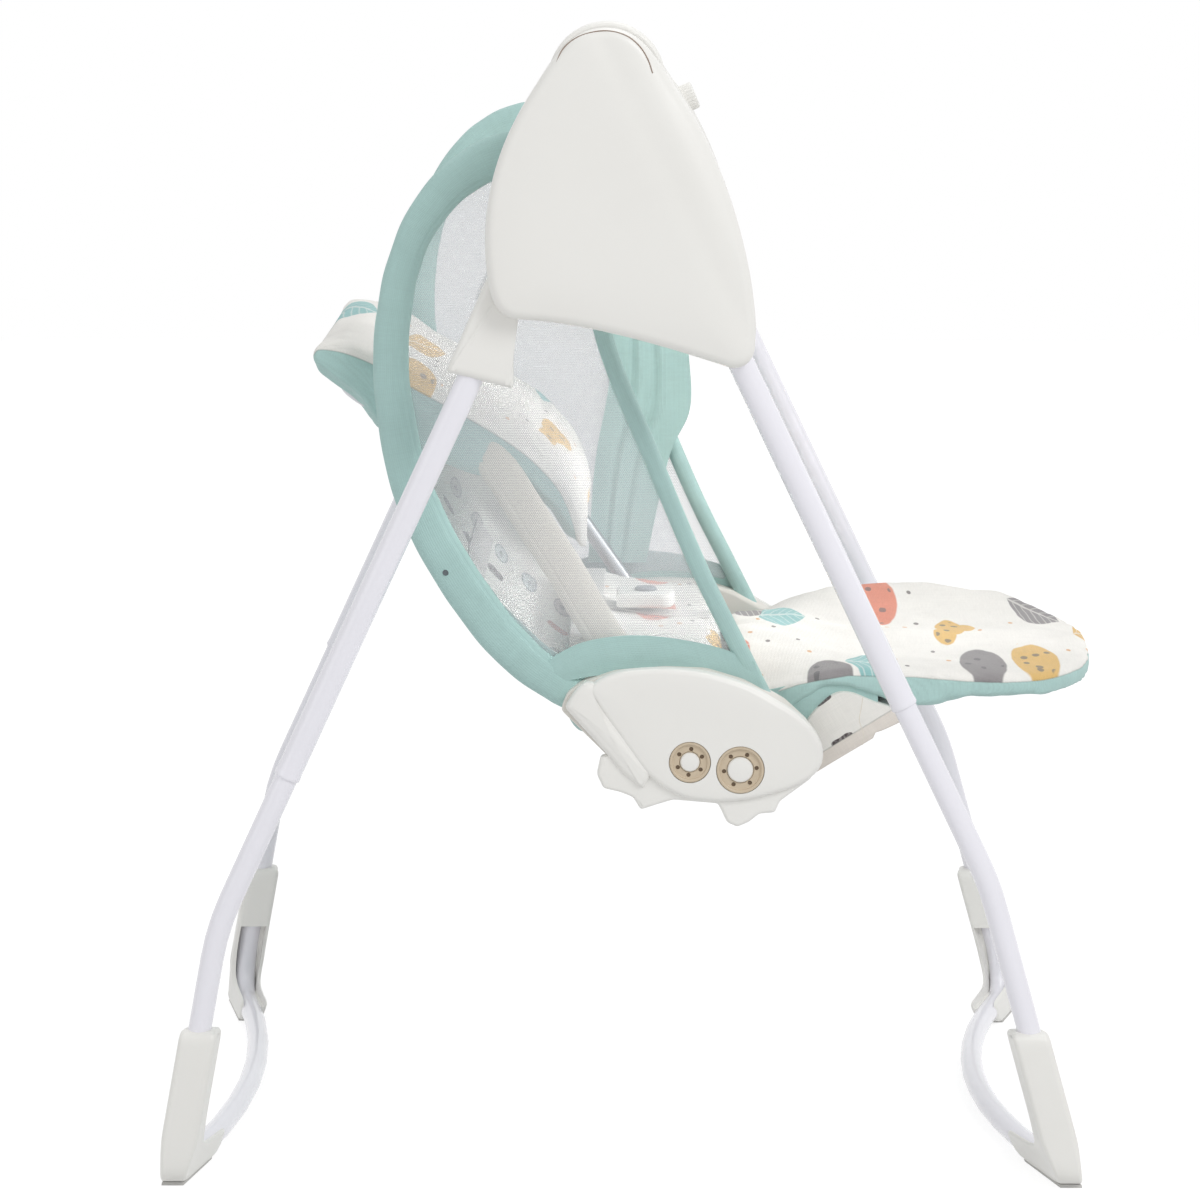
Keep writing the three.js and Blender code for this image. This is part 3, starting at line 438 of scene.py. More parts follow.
def add_node(tree, kind, values=(), **settings):
    """A shader node with its settings, and each input either linked or set."""
    node = tree.nodes.new("ShaderNode" + kind)
    for key, value in settings.items():
        setattr(node, key, value)
    fill_inputs(tree, node, values)
    return node


def fill_inputs(tree, node, values):
    for key, value in values:
        value = getattr(value, "socket", value)
        if isinstance(value, bpy.types.NodeSocket):
            tree.links.new(value, node.inputs[key])
        else:
            node.inputs[key].default_value = value


def mix_colour(tree, amount, first, second):
    node = add_node(tree, "Mix", [(0, amount), (6, first), (7, second)], data_type="RGBA")
    return node.outputs[2]


def colour(red, green, blue):
    """A screen colour from 0 to 255 as a linear one."""
    c = np.array([red, green, blue]) / 255
    return tuple(np.where(c <= 0.04045, c / 12.92, ((c + 0.055) / 1.055)**2.4)) + (1.0,)


PLAIN_GREY = (0.8, 0.8, 0.8, 1.0)


def moulded_group():
    """Moulded plastic: a faint cloudiness in the colour, painted shade towards the underside, fine grain for
    the bump, and a roughness that wanders a little."""
    g = Group("Moulded grain", [("Vector", "Vector", None), ("Colour", "Color", PLAIN_GREY),
                                ("Cloud", "Float", 0.04), ("Grain size", "Float", 0.0011),
                                ("Roughness", "Float", 0.4)],
              [("Colour", "Color"), ("Roughness", "Float"), ("Height", "Float")])
    at = g["Vector"]
    cloud = g.noise(at, 14.0, 4.0, 0.55)
    fine = g.noise(at, 1.0 / g["Grain size"], 2.0, 0.6)
    scuff = g.step(g.noise(at * (90.0, 90.0, 14.0), 1.0, 5.0, 0.65), 0.58, 0.74)
    # Painted shade: faces that turn downwards get darker, by the same Cloud amount as the cloudiness.
    down = g.parts(g.node("NewGeometry", output="Normal"))[2] * -1.0
    shade = g["Cloud"] * (g.step(cloud, 0.35, 0.7) + g.step(down, 0.1, 1.0) * 0.2)
    g["Colour"] = g.mix(shade, g["Colour"], g["Colour"] * (0.76, 0.74, 0.71))
    g["Roughness"] = g["Roughness"] + (cloud - 0.5) * 0.16 - scuff * 0.05
    g["Height"] = fine + scuff * -0.12
    return g.tree


def weave_group():
    """Plain woven cloth: two sets of threads at right angles, each rounded, taking turns on top; the yarns
    vary a little in colour, and painted shade darkens the hollows between them."""
    g = Group("Weave", [("Vector", "Vector", None), ("Colour", "Color", PLAIN_GREY),
                        ("Thread", "Float", 0.0011), ("Hollow", "Float", 0.22), ("Slub", "Float", 0.1)],
              [("Colour", "Color"), ("Roughness", "Float"), ("Height", "Float")])
    at = g["Vector"] / g["Thread"]
    warp, weft = (g.work("SINE", across * math.pi) for across in g.parts(at)[:2])
    over = g.step(warp * weft, -0.4, 0.4)
    height = abs(warp) * over + abs(weft) * (1.0 - over)
    yarns = g.noise(at * (0.9, 0.06, 0.5), 1.0, 2.0) + g.noise(at * (0.06, 0.9, 0.5), 1.0, 2.0)
    slub = (yarns - 1.0) * g["Slub"]
    patch = (g.noise(g["Vector"], 22.0) - 0.5) * 0.16
    # Hollow darkens the colour between threads: painted shade in the hollows. Slub and patch are the yarns'
    # own colour.
    level = 1.0 - (1.0 - height) * g["Hollow"] + (slub + patch)
    g["Colour"] = g["Colour"] * level
    g["Roughness"] = 0.96 - height * 0.12
    g["Height"] = height + slub * 1.5
    return g.tree


def net_group():
    """Open net: threads round six-sided holes set in staggered rows. The mask is 1 on a thread."""
    g = Group("Net", [("Vector", "Vector", None), ("Pitch", "Float", 0.0021), ("Thread", "Float", 0.3)],
              [("Mask", "Float")])
    tall = 1.732
    flat = g["Vector"] / g["Pitch"] * (1.0, 1.0 / tall, 0.0)
    reach = []
    for shift in ((0.0, 0.0, 0.0), (0.5, 0.5, 0.0)):
        from_centre = g.work("FRACTION", flat + shift) - (0.5, 0.5, 0.0)
        reach.append(g.length(from_centre * (1.0, tall, 0.0)))
    g["Mask"] = g.step(g.work("MINIMUM", *reach), 0.5 - g["Thread"], 0.5)
    return g.tree


PRINT_SOCKETS = [("Vector", "Vector", None), ("Ground", "Color", PLAIN_GREY), ("Marks", "Float", 1.0)]


def print_group():
    """Nursery print: leaves, pebbles and clouds, scattered one to a cell on a pale ground, each with paler
    veins or dark dabs inside and a soft painted edge, and a few small seeds strewn between them."""
    g = Group("Scattered print", PRINT_SOCKETS, [("Colour", "Color")])
    at = g.unsteady(60.0, 0.005)
    place, own = g.cell(at, 0.062, 0.6)
    turn = (own[1] - 0.5) * 1.6
    spun = g.node("VectorRotate", [("Vector", place), ("Axis", (0.0, 0.0, 1.0)), ("Angle", turn)],
                  rotation_type="AXIS_ANGLE")
    x, y = g.parts(spun)[:2]
    # A pebble: a nearly round ellipse, 0.62 cells across. A leaf: two arcs that meet in points.
    # A cloud: three circles.
    pebble = 0.26 - g.length(spun * (0.84, 0.82, 0.0))
    leaf = 0.24 - x**2.0 * 2.0 - abs(y)
    circles = [((-0.16, -0.04, 0.0), 0.16), ((0.03, 0.06, 0.0), 0.21), ((0.2, -0.05, 0.0), 0.14)]
    lobes = [radius - g.length(spun - centre) for centre, radius in circles]
    cloud = g.work("MAXIMUM", g.work("MAXIMUM", lobes[0], lobes[1]), lobes[2])
    is_leaf = own[2] > 0.6
    inside = g.choose(own[2] < 0.3, g.choose(is_leaf, pebble, leaf), cloud)
    shape = g.step(inside, 0.0, 0.02) * (g.work("FRACT", own[0] * 9.7) < g["Marks"])
    wash = g.step(g.noise(at, 170.0, 3.0, 0.7), 0.3, 0.75)
    # Inside marks: a pale spine with side veins on a leaf, dark dabs on the rest.
    spine = g.step(abs(y), 0.02, 0.008)
    side_vein = g.step(abs(g.work("FRACT", x * 9.0 + abs(y) * -9.0) - 0.5), 0.14, 0.05)
    veins = g.work("MAXIMUM", spine, side_vein * 0.7) * is_leaf
    dabs, dab_own = g.cell(at, 0.0095, 0.8)
    dab = g.step(g.length(dabs * (0.7, 1.2, 0.0)), 0.24, 0.17) * (dab_own[0] > 0.62) * (1.0 - is_leaf)
    dab = dab * g.step(inside, 0.03, 0.05)
    ink = g.mix(own[0] > 0.34, colour(140, 196, 196), colour(229, 187, 104))
    ink = g.mix(own[0] > 0.56, ink, colour(228, 138, 112))
    ink = g.mix(own[0] > 0.7, ink, colour(140, 136, 138))
    ink = g.mix(wash * 0.3, ink, ink * 0.78)
    ink = g.mix(veins * 0.6, ink, g["Ground"])
    ink = g.mix(dab * 0.75, ink, colour(84, 84, 88))
    seeds, seed_own = g.cell(at + (0.013, 0.004, 0.0), 0.021, 0.9)
    seed = g.step(g.length(seeds * (0.8, 1.2, 0.0)), 0.085, 0.06) * (seed_own[2] > 0.55)
    seed = seed * g.step(inside, -0.03, -0.05)
    seed_ink = g.mix(seed_own[0] > 0.45, colour(112, 104, 102), colour(222, 170, 110))
    g["Colour"] = g.mix(shape * 0.92, g.mix(seed * 0.85, g["Ground"], seed_ink), ink)
    return g.tree


def strokes_group():
    """Print of rows of brush strokes, 34 mm apart: in each cell a pale filled oval with its outline, and
    beside it a dark stroke, both lying along the first axis."""
    g = Group("Stroke print", PRINT_SOCKETS, [("Colour", "Color")])
    at = g.unsteady(90.0, 0.003)
    cell = at / (0.034, 0.034, 1.0)
    local = (g.work("FRACTION", cell) - (0.5, 0.5, 0.0)) * (34.0, 34.0, 0.0)
    x, y = g.parts(local)[:2]
    oval = g.length((local - (0.0, 8.0, 0.0)) / (8.8, 5.4, 1.0))
    fill = g.step(oval, 1.0, 0.9) * g["Marks"]
    outline = g.work("MAXIMUM", g.step(oval, 0.7, 0.86) * fill, g.step(oval, 0.34, 0.2) * fill)
    own = g.node("TexWhiteNoise", [("Vector", g.work("FLOOR", cell))])
    dash = g.step(((x + 2.0) / 9.5)**4.0 + ((y + 8.0) / 2.3)**2.0, 1.1, 0.7) * (own > 0.3)
    grain = g.step(g.noise(at, 420.0, 2.0, 0.7), 0.25, 0.6)
    base = g.mix(fill * 0.45, g["Ground"], g.mix(own > 0.5, colour(150, 186, 192), colour(160, 160, 164)))
    base = g.mix(outline * grain * 0.8, base, colour(96, 104, 110))
    stroke = g.mix(own > 0.82, colour(84, 76, 78), colour(190, 116, 96))
    g["Colour"] = g.mix(dash * (grain * 0.4 + 0.6), base, stroke)
    return g.tree


MOULDED, WEAVE, NET = moulded_group(), weave_group(), net_group()
PRINT, STROKES = print_group(), strokes_group()


def new_material(name, **shader):
    """A material with a Principled shader, its plain values set straight on its sockets."""
    material = bpy.data.materials.new(name)
    material.use_nodes = True
    principled = material.node_tree.nodes["Principled BSDF"]
    for key, value in shader.items():
        principled.inputs[key.replace("_", " ")].default_value = value
    return material, material.node_tree, principled


def bumped(tree, principled, height, strength, distance):
    bump = add_node(tree, "Bump", [("Strength", strength), ("Distance", distance), ("Height", height)])
    tree.links.new(bump.outputs[0], principled.inputs["Normal"])


def use(tree, group, **values):
    """A node group in a material, with its inputs named."""
    node = add_node(tree, "Group")
    node.node_tree = group
    fill_inputs(tree, node, values.items())
    return node.outputs


def ramp(tree, value, low, high, start=0.0, end=1.0):
    """A straight ramp of value: start at low, end at high."""
    pairs = [("Value", value), ("From Min", low), ("From Max", high), ("To Min", start), ("To Max", end)]
    return add_node(tree, "MapRange", pairs).outputs[0]


def worked(tree, operation, *values):
    """The result of a Math node."""
    return add_node(tree, "Math", enumerate(values), operation=operation).outputs[0]


def moulded(name, tone, rough=0.42, cloud=0.05, grain=0.0011, bump=0.06, **shader):
    """Moulded or painted surface in one tone. cloud sets its cloudiness and also its painted shade on
    downward faces.
    """
    material, tree, principled = new_material(name, **shader)
    at = add_node(tree, "TexCoord").outputs["Object"]
    out = use(tree, MOULDED, Vector=at, Colour=tone, Cloud=cloud, Roughness=rough, **{"Grain size": grain})
    tree.links.new(out["Colour"], principled.inputs["Base Color"])
    tree.links.new(out["Roughness"], principled.inputs["Roughness"])
    bumped(tree, principled, out["Height"], bump, 0.0003)
    return material


SEWN_DARK = colour(120, 128, 124)


def cloth(name, tone, thread=0.0011, turn=(0.0, 0.0, 0.0), pattern=None, shift=(0.0, 0.0, 0.0),
          stretch=(1.0, 1.0, 1.0), marks=1.0, beyond=None, uv=False, bump=0.5):
    """Woven cloth, plain or with one of the prints. turn lays the weave's plane along the piece, stretch
    sizes the print, and marks thins it out. Where the piece's own attribute "zone" is below 0, past a sewn
    line, the colour is beyond."""
    material, tree, principled = new_material(name, Sheen_Weight=0.2, Sheen_Roughness=0.45)
    source = add_node(tree, "TexCoord").outputs["UV" if uv else "Object"]
    laid = add_node(tree, "Mapping",
                    [("Vector", source), ("Location", shift), ("Rotation", turn)]).outputs[0]
    ground = tone
    if pattern:
        sized = add_node(tree, "VectorMath", [(0, laid), (1, stretch)], operation="MULTIPLY").outputs[0]
        ground = use(tree, pattern, Vector=sized, Ground=tone, Marks=marks)["Colour"]
    if beyond:
        zone = add_node(tree, "Attribute", attribute_name="zone").outputs["Fac"]
        ground = mix_colour(tree, ramp(tree, zone, -0.0002, 0.0002), beyond, ground)
        off = worked(tree, "ABSOLUTE", zone)
        dip = ramp(tree, off, 0.0, 0.0011, -2.0, 0.0)
        ground = mix_colour(tree, ramp(tree, off, 0.0002, 0.0009, 0.3, 0.0), ground, SEWN_DARK)
    out = use(tree, WEAVE, Vector=laid, Colour=ground, Thread=thread, Hollow=0.1)
    tree.links.new(out["Colour"], principled.inputs["Base Color"])
    tree.links.new(out["Roughness"], principled.inputs["Roughness"])
    height = worked(tree, "ADD", out["Height"], dip) if beyond else out["Height"]
    bumped(tree, principled, height, bump, 0.0004)
    return material


def netting(name, tone, cover, pitch=0.0015):
    """See-through net: each thread covers, and so, thinly, does the haze of fluff over the holes. It throws
    only a light shadow."""
    material, tree, principled = new_material(name, Roughness=0.9, Sheen_Weight=0.2)
    mask = use(tree, NET, Vector=add_node(tree, "TexCoord").outputs["UV"], Pitch=pitch)["Mask"]
    shade = mix_colour(tree, mask, tuple(0.96 * c for c in tone[:3]) + (1.0,), tone)
    tree.links.new(shade, principled.inputs["Base Color"])
    in_shadow = add_node(tree, "LightPath").outputs["Is Shadow Ray"]
    covers = ramp(tree, mask, 0.0, 1.0, cover * 0.82, cover * 1.2)
    alpha = worked(tree, "MULTIPLY", covers, ramp(tree, in_shadow, 0.0, 1.0, 1.0, 0.35))
    tree.links.new(alpha, principled.inputs["Alpha"])
    bumped(tree, principled, mask, 0.3, 0.0003)
    return material


MINT_TONE, PRINT_GROUND = colour(180, 213, 209), colour(244, 242, 237)
CREAM = moulded("cream plastic", colour(239, 238, 234), rough=0.38)
CREAM_INNER = moulded("cream plastic inside", colour(230, 227, 220), rough=0.55, cloud=0.1)
WHITE_TUBE = moulded("white painted tube", colour(240, 239, 246), rough=0.24, cloud=0.03, grain=0.003,
                     bump=0.03, Coat_Weight=0.35, Coat_Roughness=0.12)
STEEL = moulded("bright steel", colour(184, 187, 191), rough=0.3, cloud=0.1, grain=0.0006, Metallic=1.0)
RUBBER = moulded("pale rubber", colour(206, 205, 202), rough=0.75, cloud=0.2, bump=0.2)
# The vent rings' beige dish is painted shade of the recess it sits in.
RING_RECESS_SHADE = moulded("beige ring plastic", colour(206, 190, 166), rough=0.5, cloud=0.12)
RING_SLOT_SHADOW = moulded("ring shadow plastic", colour(112, 94, 74), rough=0.6, cloud=0.2)
# Brown for painted shadow in gaps: the cap's parting line and the rear socket's mouth.
GAP_SHADOW_BROWN = moulded("seam shadow plastic", colour(150, 132, 120), rough=0.7, cloud=0.2)
EYELET_DARK = moulded("eyelet grey", colour(96, 104, 108), rough=0.5)
GREY_BUTTON = moulded("grey button plastic", colour(138, 143, 148), rough=0.45)
BOARD_GREEN = moulded("board green", colour(64, 125, 89), rough=0.4)
MINT = cloth("mint cloth", MINT_TONE)
MINT_UV = cloth("mint cloth on the straight", MINT_TONE, uv=True)
WHITE_NET = netting("white net", colour(236, 238, 242), cover=0.25)


# ---------------------------------------------------------------- hubs and legs
def lower_left(side, line):
    """The line itself on the right. On the left it comes down, more and more towards the top of the hub."""
    if side == "left":
        line[:, 1] -= 22 * np.maximum(0, line[:, 1] - 640) / 258
    return line


def hub_outline(side):
    """The cover from the side: seven curves end to end."""
    curve = bezier(
        [(-26, 893), (-2, 893), (10, 874), (25, 848)], [(25, 848), (62, 797), (85, 722), (86, 662)],
        [(85, 662), (86, 648), (79, 639), (66, 641)], [(66, 641), (24, 655), (-40, 675), (-92, 677)],
        [(-92, 677), (-107, 678), (-113, 690), (-115, 710)], [(-115, 710), (-120, 748), (-114, 796),
                                                              (-84, 842)],
        [(-84, 842), (-64, 874), (-52, 893), (-26, 893)])
    return soften(even(lower_left(side, curve), 260, True), 1.0)


def arm_room(name, side):
    """The space that the rear arm turns in: a fan about the pivot from 33.8 degrees back to 21.2 forward."""
    a = np.radians(np.linspace(-33.8, 21.2, 30))
    low, high = 300 * np.ones(30), 60 * np.ones(30)
    ring = np.concatenate([np.stack([PIVOT[0] + low * np.sin(a), PIVOT[1] - low * np.cos(a)], 1),
                           np.stack([PIVOT[0] + high * np.sin(a), PIVOT[1] - high * np.cos(a)], 1)[::-1]])
    return prism(name, side, even(ring, 160, True), 260, 300)


def hub_relief(x, z):
    """How far the cover's face falls back: a low ridge runs down its front edge, past a shallow hollow."""
    past = ((x - 13.6) * 97.4 + (z - 833.3) * 48.4) / 108.8
    hollow = 0.9 * np.exp(-((past + 15) / 8)**2)
    shoulder = 3.2 * smooth(2, 24, past)
    return (hollow + shoulder) * smooth(640, 690, z)


def hub_cover(side):
    outline = hub_outline(side)
    cover = moulding(f"hub_cover_{side}", side, outline, HUB_SPLIT, 318.4,
                     9, 1.2, 3.4, 5.0, (-20, 758), hub_relief)
    head = 45 if side == "right" else 20
    carve(cover, arm_room("arm room", side), prism("head room", side, circle(*PIVOT, head), 260, 300))
    settle(cover, "front_frame", CREAM, "housing", f"hub_outer_cover_{side}")
    inner = moulding(f"hub_back_cover_{side}", side, outline,
                     HUB_INNER, HUB_SPLIT - 0.4, 0.8, 4.0)
    carve(inner, prism("axle room", side, circle(*PIVOT, 9.4, 32), 250, 280))
    settle(inner, "front_frame", CREAM, "housing", f"hub_inner_cover_{side}")
    # The parting line of the cap at the top: a dark strip sunk half its width in the face, painted shadow of
    # the gap.
    arc = spline([(-62.8, 868), (-58.4, 877.4), (-49.4, 885.2), (-38.1, 889.6), (-27.6, 891), (-17.2, 889.6),
                  (-8.2, 885.6), (-0.2, 878), (5, 869), (8, 860)], 40)
    arc = lower_left(side, arc)
    away = -1 if side == "right" else 1
    hits = [cover.ray_cast(Vector((x * 0.001, away * 0.4, z * 0.001)), Vector((0, -away, 0)))[1]
            for x, z in arc]
    line = np.array([tuple(h) for h in hits]) * 1000
    line[:, 1] = np.convolve(np.pad(line[:, 1], 3, mode="edge"), np.ones(7) / 7, "valid")
    seam = tube(f"hub_cap_gap_shadow_{side}", "right", line, 0.55, (0, 1, 0), 0.4, 10)
    settle(seam, "front_frame", GAP_SHADOW_BROWN, "inner_plastic")


def hub_arm(side):
    """The rear leg's socket: a flattened blade out of the hub, square at the end where the tube goes in."""
    head = 44 if side == "right" else 19
    outline = np.array([(PIVOT[0] - 0.93 * head, PIVOT[1] - 0.36 * head), (-80, 790), (-120, 697),
                        (-147, 636), (-96, 623), (-97, 690), (-62, 760),
                        (PIVOT[0] + 0.36 * head, PIVOT[1] - 0.93 * head)])
    outline = soften(even(outline, 220, True), 1.8)
    blade = moulding(f"rear_socket_{side}", side, outline, 271.5, 298.5, 6, 6, 0.4)
    cap = moulding(f"rear_socket_head_{side}", side, circle(*PIVOT, head, 72), 271.5, 298.5, 3, 3)
    carve(cap, prism("bush room", side, circle(*PIVOT, 9.2, 32), 250, 330))
    # A short brown collar where the tube goes in: painted shadow in the socket's mouth.
    mouth = tube(f"rear_socket_mouth_shadow_{side}", side, along_leg(REAR_LEG, np.array([232.0, 236, 240])), 10.8,
                 edge=0.6, count=40)
    for piece in (blade, cap):
        settle(piece, "rear_frame", CREAM, "housing")
    settle(mouth, "rear_frame", GAP_SHADOW_BROWN, "inner_plastic")
    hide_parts(f"rear_hub_arm_{side}")


def along_leg(leg, d):
    s = leg["slope"]
    scale = np.asarray(d, float)[..., None] / math.hypot(1, s)
    start = np.array([PIVOT[0], -LEG_PLANE, PIVOT[1]])
    return start + scale * np.array([leg["forward"] * s, 0, -1.0])


def leg_tube(name, leg, side):
    """The upper tube: straight, with a rolled lip at its foot where the floor tube slides in."""
    d = np.r_[leg["top"], np.linspace(leg["top"] + 6, leg["top"] + leg["length"] - 6, 24),
              leg["top"] + leg["length"] - np.array([4.2, 3.2, 2.2, 1.4, 0.7, 0.2, 0])]
    lip = smooth(5.5, 2.6, leg["top"] + leg["length"] - d)
    radius = 10 + 0.35 * lip
    radius[-3:] -= np.array([0.15, 0.7, 1.4])
    section = circle(0, 0, 1, 40)[None] * radius[:, None, None]
    grid = sweep(along_leg(leg, d), section, (0, 1, 0))
    piece = closed_grid(f"{name}_upper_tube_{side}", mirrored(side, grid), sharp=60)
    settle(piece, f"{name}_frame", WHITE_TUBE, "painted_tube", f"{name}_leg_tube_{side}")


def floor_tube(name, leg):
    """Lower legs and floor run in one bent bar, bowed in at its middle."""
    top = along_leg(leg, leg["top"] + leg["length"] - 36)
    sense = leg["forward"]
    knee_d = (PIVOT[1] - leg["knee"]) * math.hypot(1, leg["slope"])
    knee = along_leg(leg, knee_d)
    foot = np.array([leg["foot"], -LEG_PLANE, RUN_HEIGHT])
    middle = np.array([leg["foot"] - sense * leg["bow"], 0, RUN_HEIGHT])
    far = np.array([1, -1, 1])
    line = bent([top, knee, foot, middle, foot * far, knee * far, top * far],
                [200, 45, leg["bend"], 45, 200], 5)
    piece = tube(f"{name}_lower_tube", "right", line, 8.9, (sense, 0, 0.001), 0.6, 32)
    settle(piece, f"{name}_frame", WHITE_TUBE, "painted_tube", f"{name}_floor_tube")


def boot(name, leg, side):
    """The foot: a sleeve up the leg that turns in along the floor. Its outline is in Y and Z, and every
    point is then moved in X with the leg's lean above the floor and with the bow of the floor run
    inwards."""
    outline = np.array([(-299, 125), (-299.5, 80), (-299, 40), (-299, 18), (-297, 9), (-291.5, 3.8),
                        (-282, 1.5), (-240, 1.5), (-209, 1.5), (-201.5, 3.8), (-197.8, 9), (-197, 15),
                        (-197, 22.5), (-221, 23), (-248, 24.5), (-262, 28.5), (-268.5, 37), (-271, 51),
                        (-271, 90), (-271, 125)])
    p = anticlockwise(soften(even(outline, 240, True), 6))
    n = outward(p)
    a = np.linspace(0, np.pi / 2, 8)
    half, edge = 14.5, 4.5
    rows = [(p - n * edge * (1 - np.sin(t)), -half + edge * (1 - np.cos(t))) for t in a]
    rows += [(p, x) for x in np.linspace(-half + edge, half - edge, 4)[1:-1]]
    rows += [(p - n * edge * (1 - np.cos(t)), half - edge * (1 - np.sin(t))) for t in a]
    sense, foot = leg["forward"], leg["foot"]
    knee_x = along_leg(leg, (PIVOT[1] - leg["knee"]) * math.hypot(1, leg["slope"]))[0]
    lean = (foot - knee_x) / (leg["knee"] - RUN_HEIGHT)

    def placed(y, x, z):
        narrow = 1 - 0.3 * smooth(45, 0, z)
        bow = leg["bow"] / LEG_PLANE * np.maximum(0, LEG_PLANE + y)
        return np.stack([foot + x * narrow - lean * (z - RUN_HEIGHT) - sense * bow, y, z], -1)

    grid = np.stack([placed(q[:, 0], np.full(len(q), x), q[:, 1]) for q, x in rows])
    piece = closed_grid(f"{name}_foot_{side}", mirrored(side, grid), sharp=45, flat=("first", "last"))
    slot = even([(-283, 71), (-283, 44), (-270, 17), (-190, 17), (-190, 60), (-245, 75)], 60, True)
    slot = soften(slot, 2)
    cut = np.stack([placed(slot[:, 0], np.full(len(slot), x), slot[:, 1]) for x in (-11.5, 11.5)])
    carve(piece, closed_grid("foot channel", mirrored(side, cut), flat=("first", "last")))
    settle(piece, f"{name}_frame", CREAM, "housing", f"{name}_boot_{side}")


# ---------------------------------------------------------------- hangers and seat base
def hanger(side):
    outline = np.array([(-45, 855), (-62, 800), (-64, 700), (-52, 690), (-24, 690), (-18, 700), (-8, 800),
                        (-7, 855)])
    blade = moulding(f"hanger_{side}", side, soften(even(outline, 160, True), 3), 243.3, 254.3, 3, 3)
    head = moulding(f"hanger_head_{side}", side, circle(*PIVOT, 19, 56), 243.3, 254.3, 2, 2)
    clamp = np.array([(-56, 778), (-46, 700), (-20, 700), (-27, 778)])
    grip = moulding(f"hanger_clamp_{side}", side, soften(even(clamp, 100, True), 2), 204.5, 245.3, 3, 3)
    for piece in (blade, head, grip):
        settle(piece, "seat", CREAM_INNER, "inner_plastic")
    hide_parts(f"hanger_{side}")


def base_housing(side):
    """The seat's base on each side: a smooth bean-shaped body on a plate that ends in lugs underneath."""
    bean = np.array([(-39.5, 383), (-37, 388), (-30, 392.8), (-16, 398), (2, 400.2), (22, 400.6),
                     (46, 398.4), (66, 393.5), (85, 386.5), (102, 377), (122, 364.5), (133.5, 353),
                     (140.2, 340), (140.6, 329), (136, 319.5), (123, 310), (100, 301.8), (80, 297.5),
                     (57, 296.4), (38, 298.4), (20, 306), (4, 319), (-10, 338), (-24, 358), (-35, 374)])
    body = moulding(f"seat_base_{side}", side, soften(spline(bean, 220, True), 1.5),
                    BASE_SPLIT + 2, 248.6, 5, 1.0, 1.2, 6.0, (48, 350))
    plate = np.array([(-46, 374), (-40, 386), (-24, 392), (10, 396), (60, 394), (100, 372), (132, 345),
                      (137, 330), (132, 314), (108, 296), (104, 287), (92, 286), (84, 279.5), (75, 275.5),
                      (67, 279), (60, 294), (25, 297), (12, 293), (0, 289), (-6, 299), (-16, 303),
                      (-29, 306), (-34, 317), (-31, 331), (-18, 334), (-26, 350)])
    back = moulding(f"seat_base_lugs_{side}", side, soften(even(plate, 260, True), 1.3),
                    BASE_SPLIT, 243.5, 3, 1.0)
    # The flank that leans back towards the rear of the seat.
    flank = np.array([(-59, 370), (-51, 383), (-43, 390), (-33, 389), (-28, 372), (-8, 345), (10, 320),
                      (2, 305), (-14, 318), (-27, 334), (-43, 352)])
    side_face = moulding(f"seat_base_flank_{side}", side, soften(even(flank, 120, True), 2.4),
                         BASE_SPLIT + 4, 247.6, 6, 1.0, 1.2, 2.0)
    for piece in (body, back, side_face):
        cutters = [prism("ring room", side, circle(x, z, r + 0.3, 56), BASE_OUTER - 5, 260)
                   for (x, z), r in ((RECLINE, 16), (LEG_HINGE, 18.5))]
        cutters += [prism("tube room", side, circle(x, z, 8.3, 40), 200, 260)
                    for x, z in (RECLINE, LEG_HINGE)]
        carve(piece, *cutters)
        settle(piece, "seat", CREAM, "housing")
    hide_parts(f"base_outer_housing_{side}")
    outline = np.array([(-62, 366), (-57, 379), (-48, 386), (-40, 389), (-20, 396), (18, 399), (50, 398),
                        (80, 389), (112, 371), (130, 354), (139, 330), (138, 322), (130, 315), (104, 296),
                        (25, 299), (-16, 320)])
    inner = moulding(f"seat_base_inner_{side}", side, soften(even(outline, 200, True), 2.2), BASE_INNER,
                     BASE_SPLIT - 0.3, 1.0, 4.0)
    carve(inner, *[prism("tube room", side, circle(x, z, 8.3, 40), 190, 260)
                   for x, z in (RECLINE, LEG_HINGE)])
    settle(inner, "seat", CREAM_INNER, "inner_plastic", f"base_inner_housing_{side}")


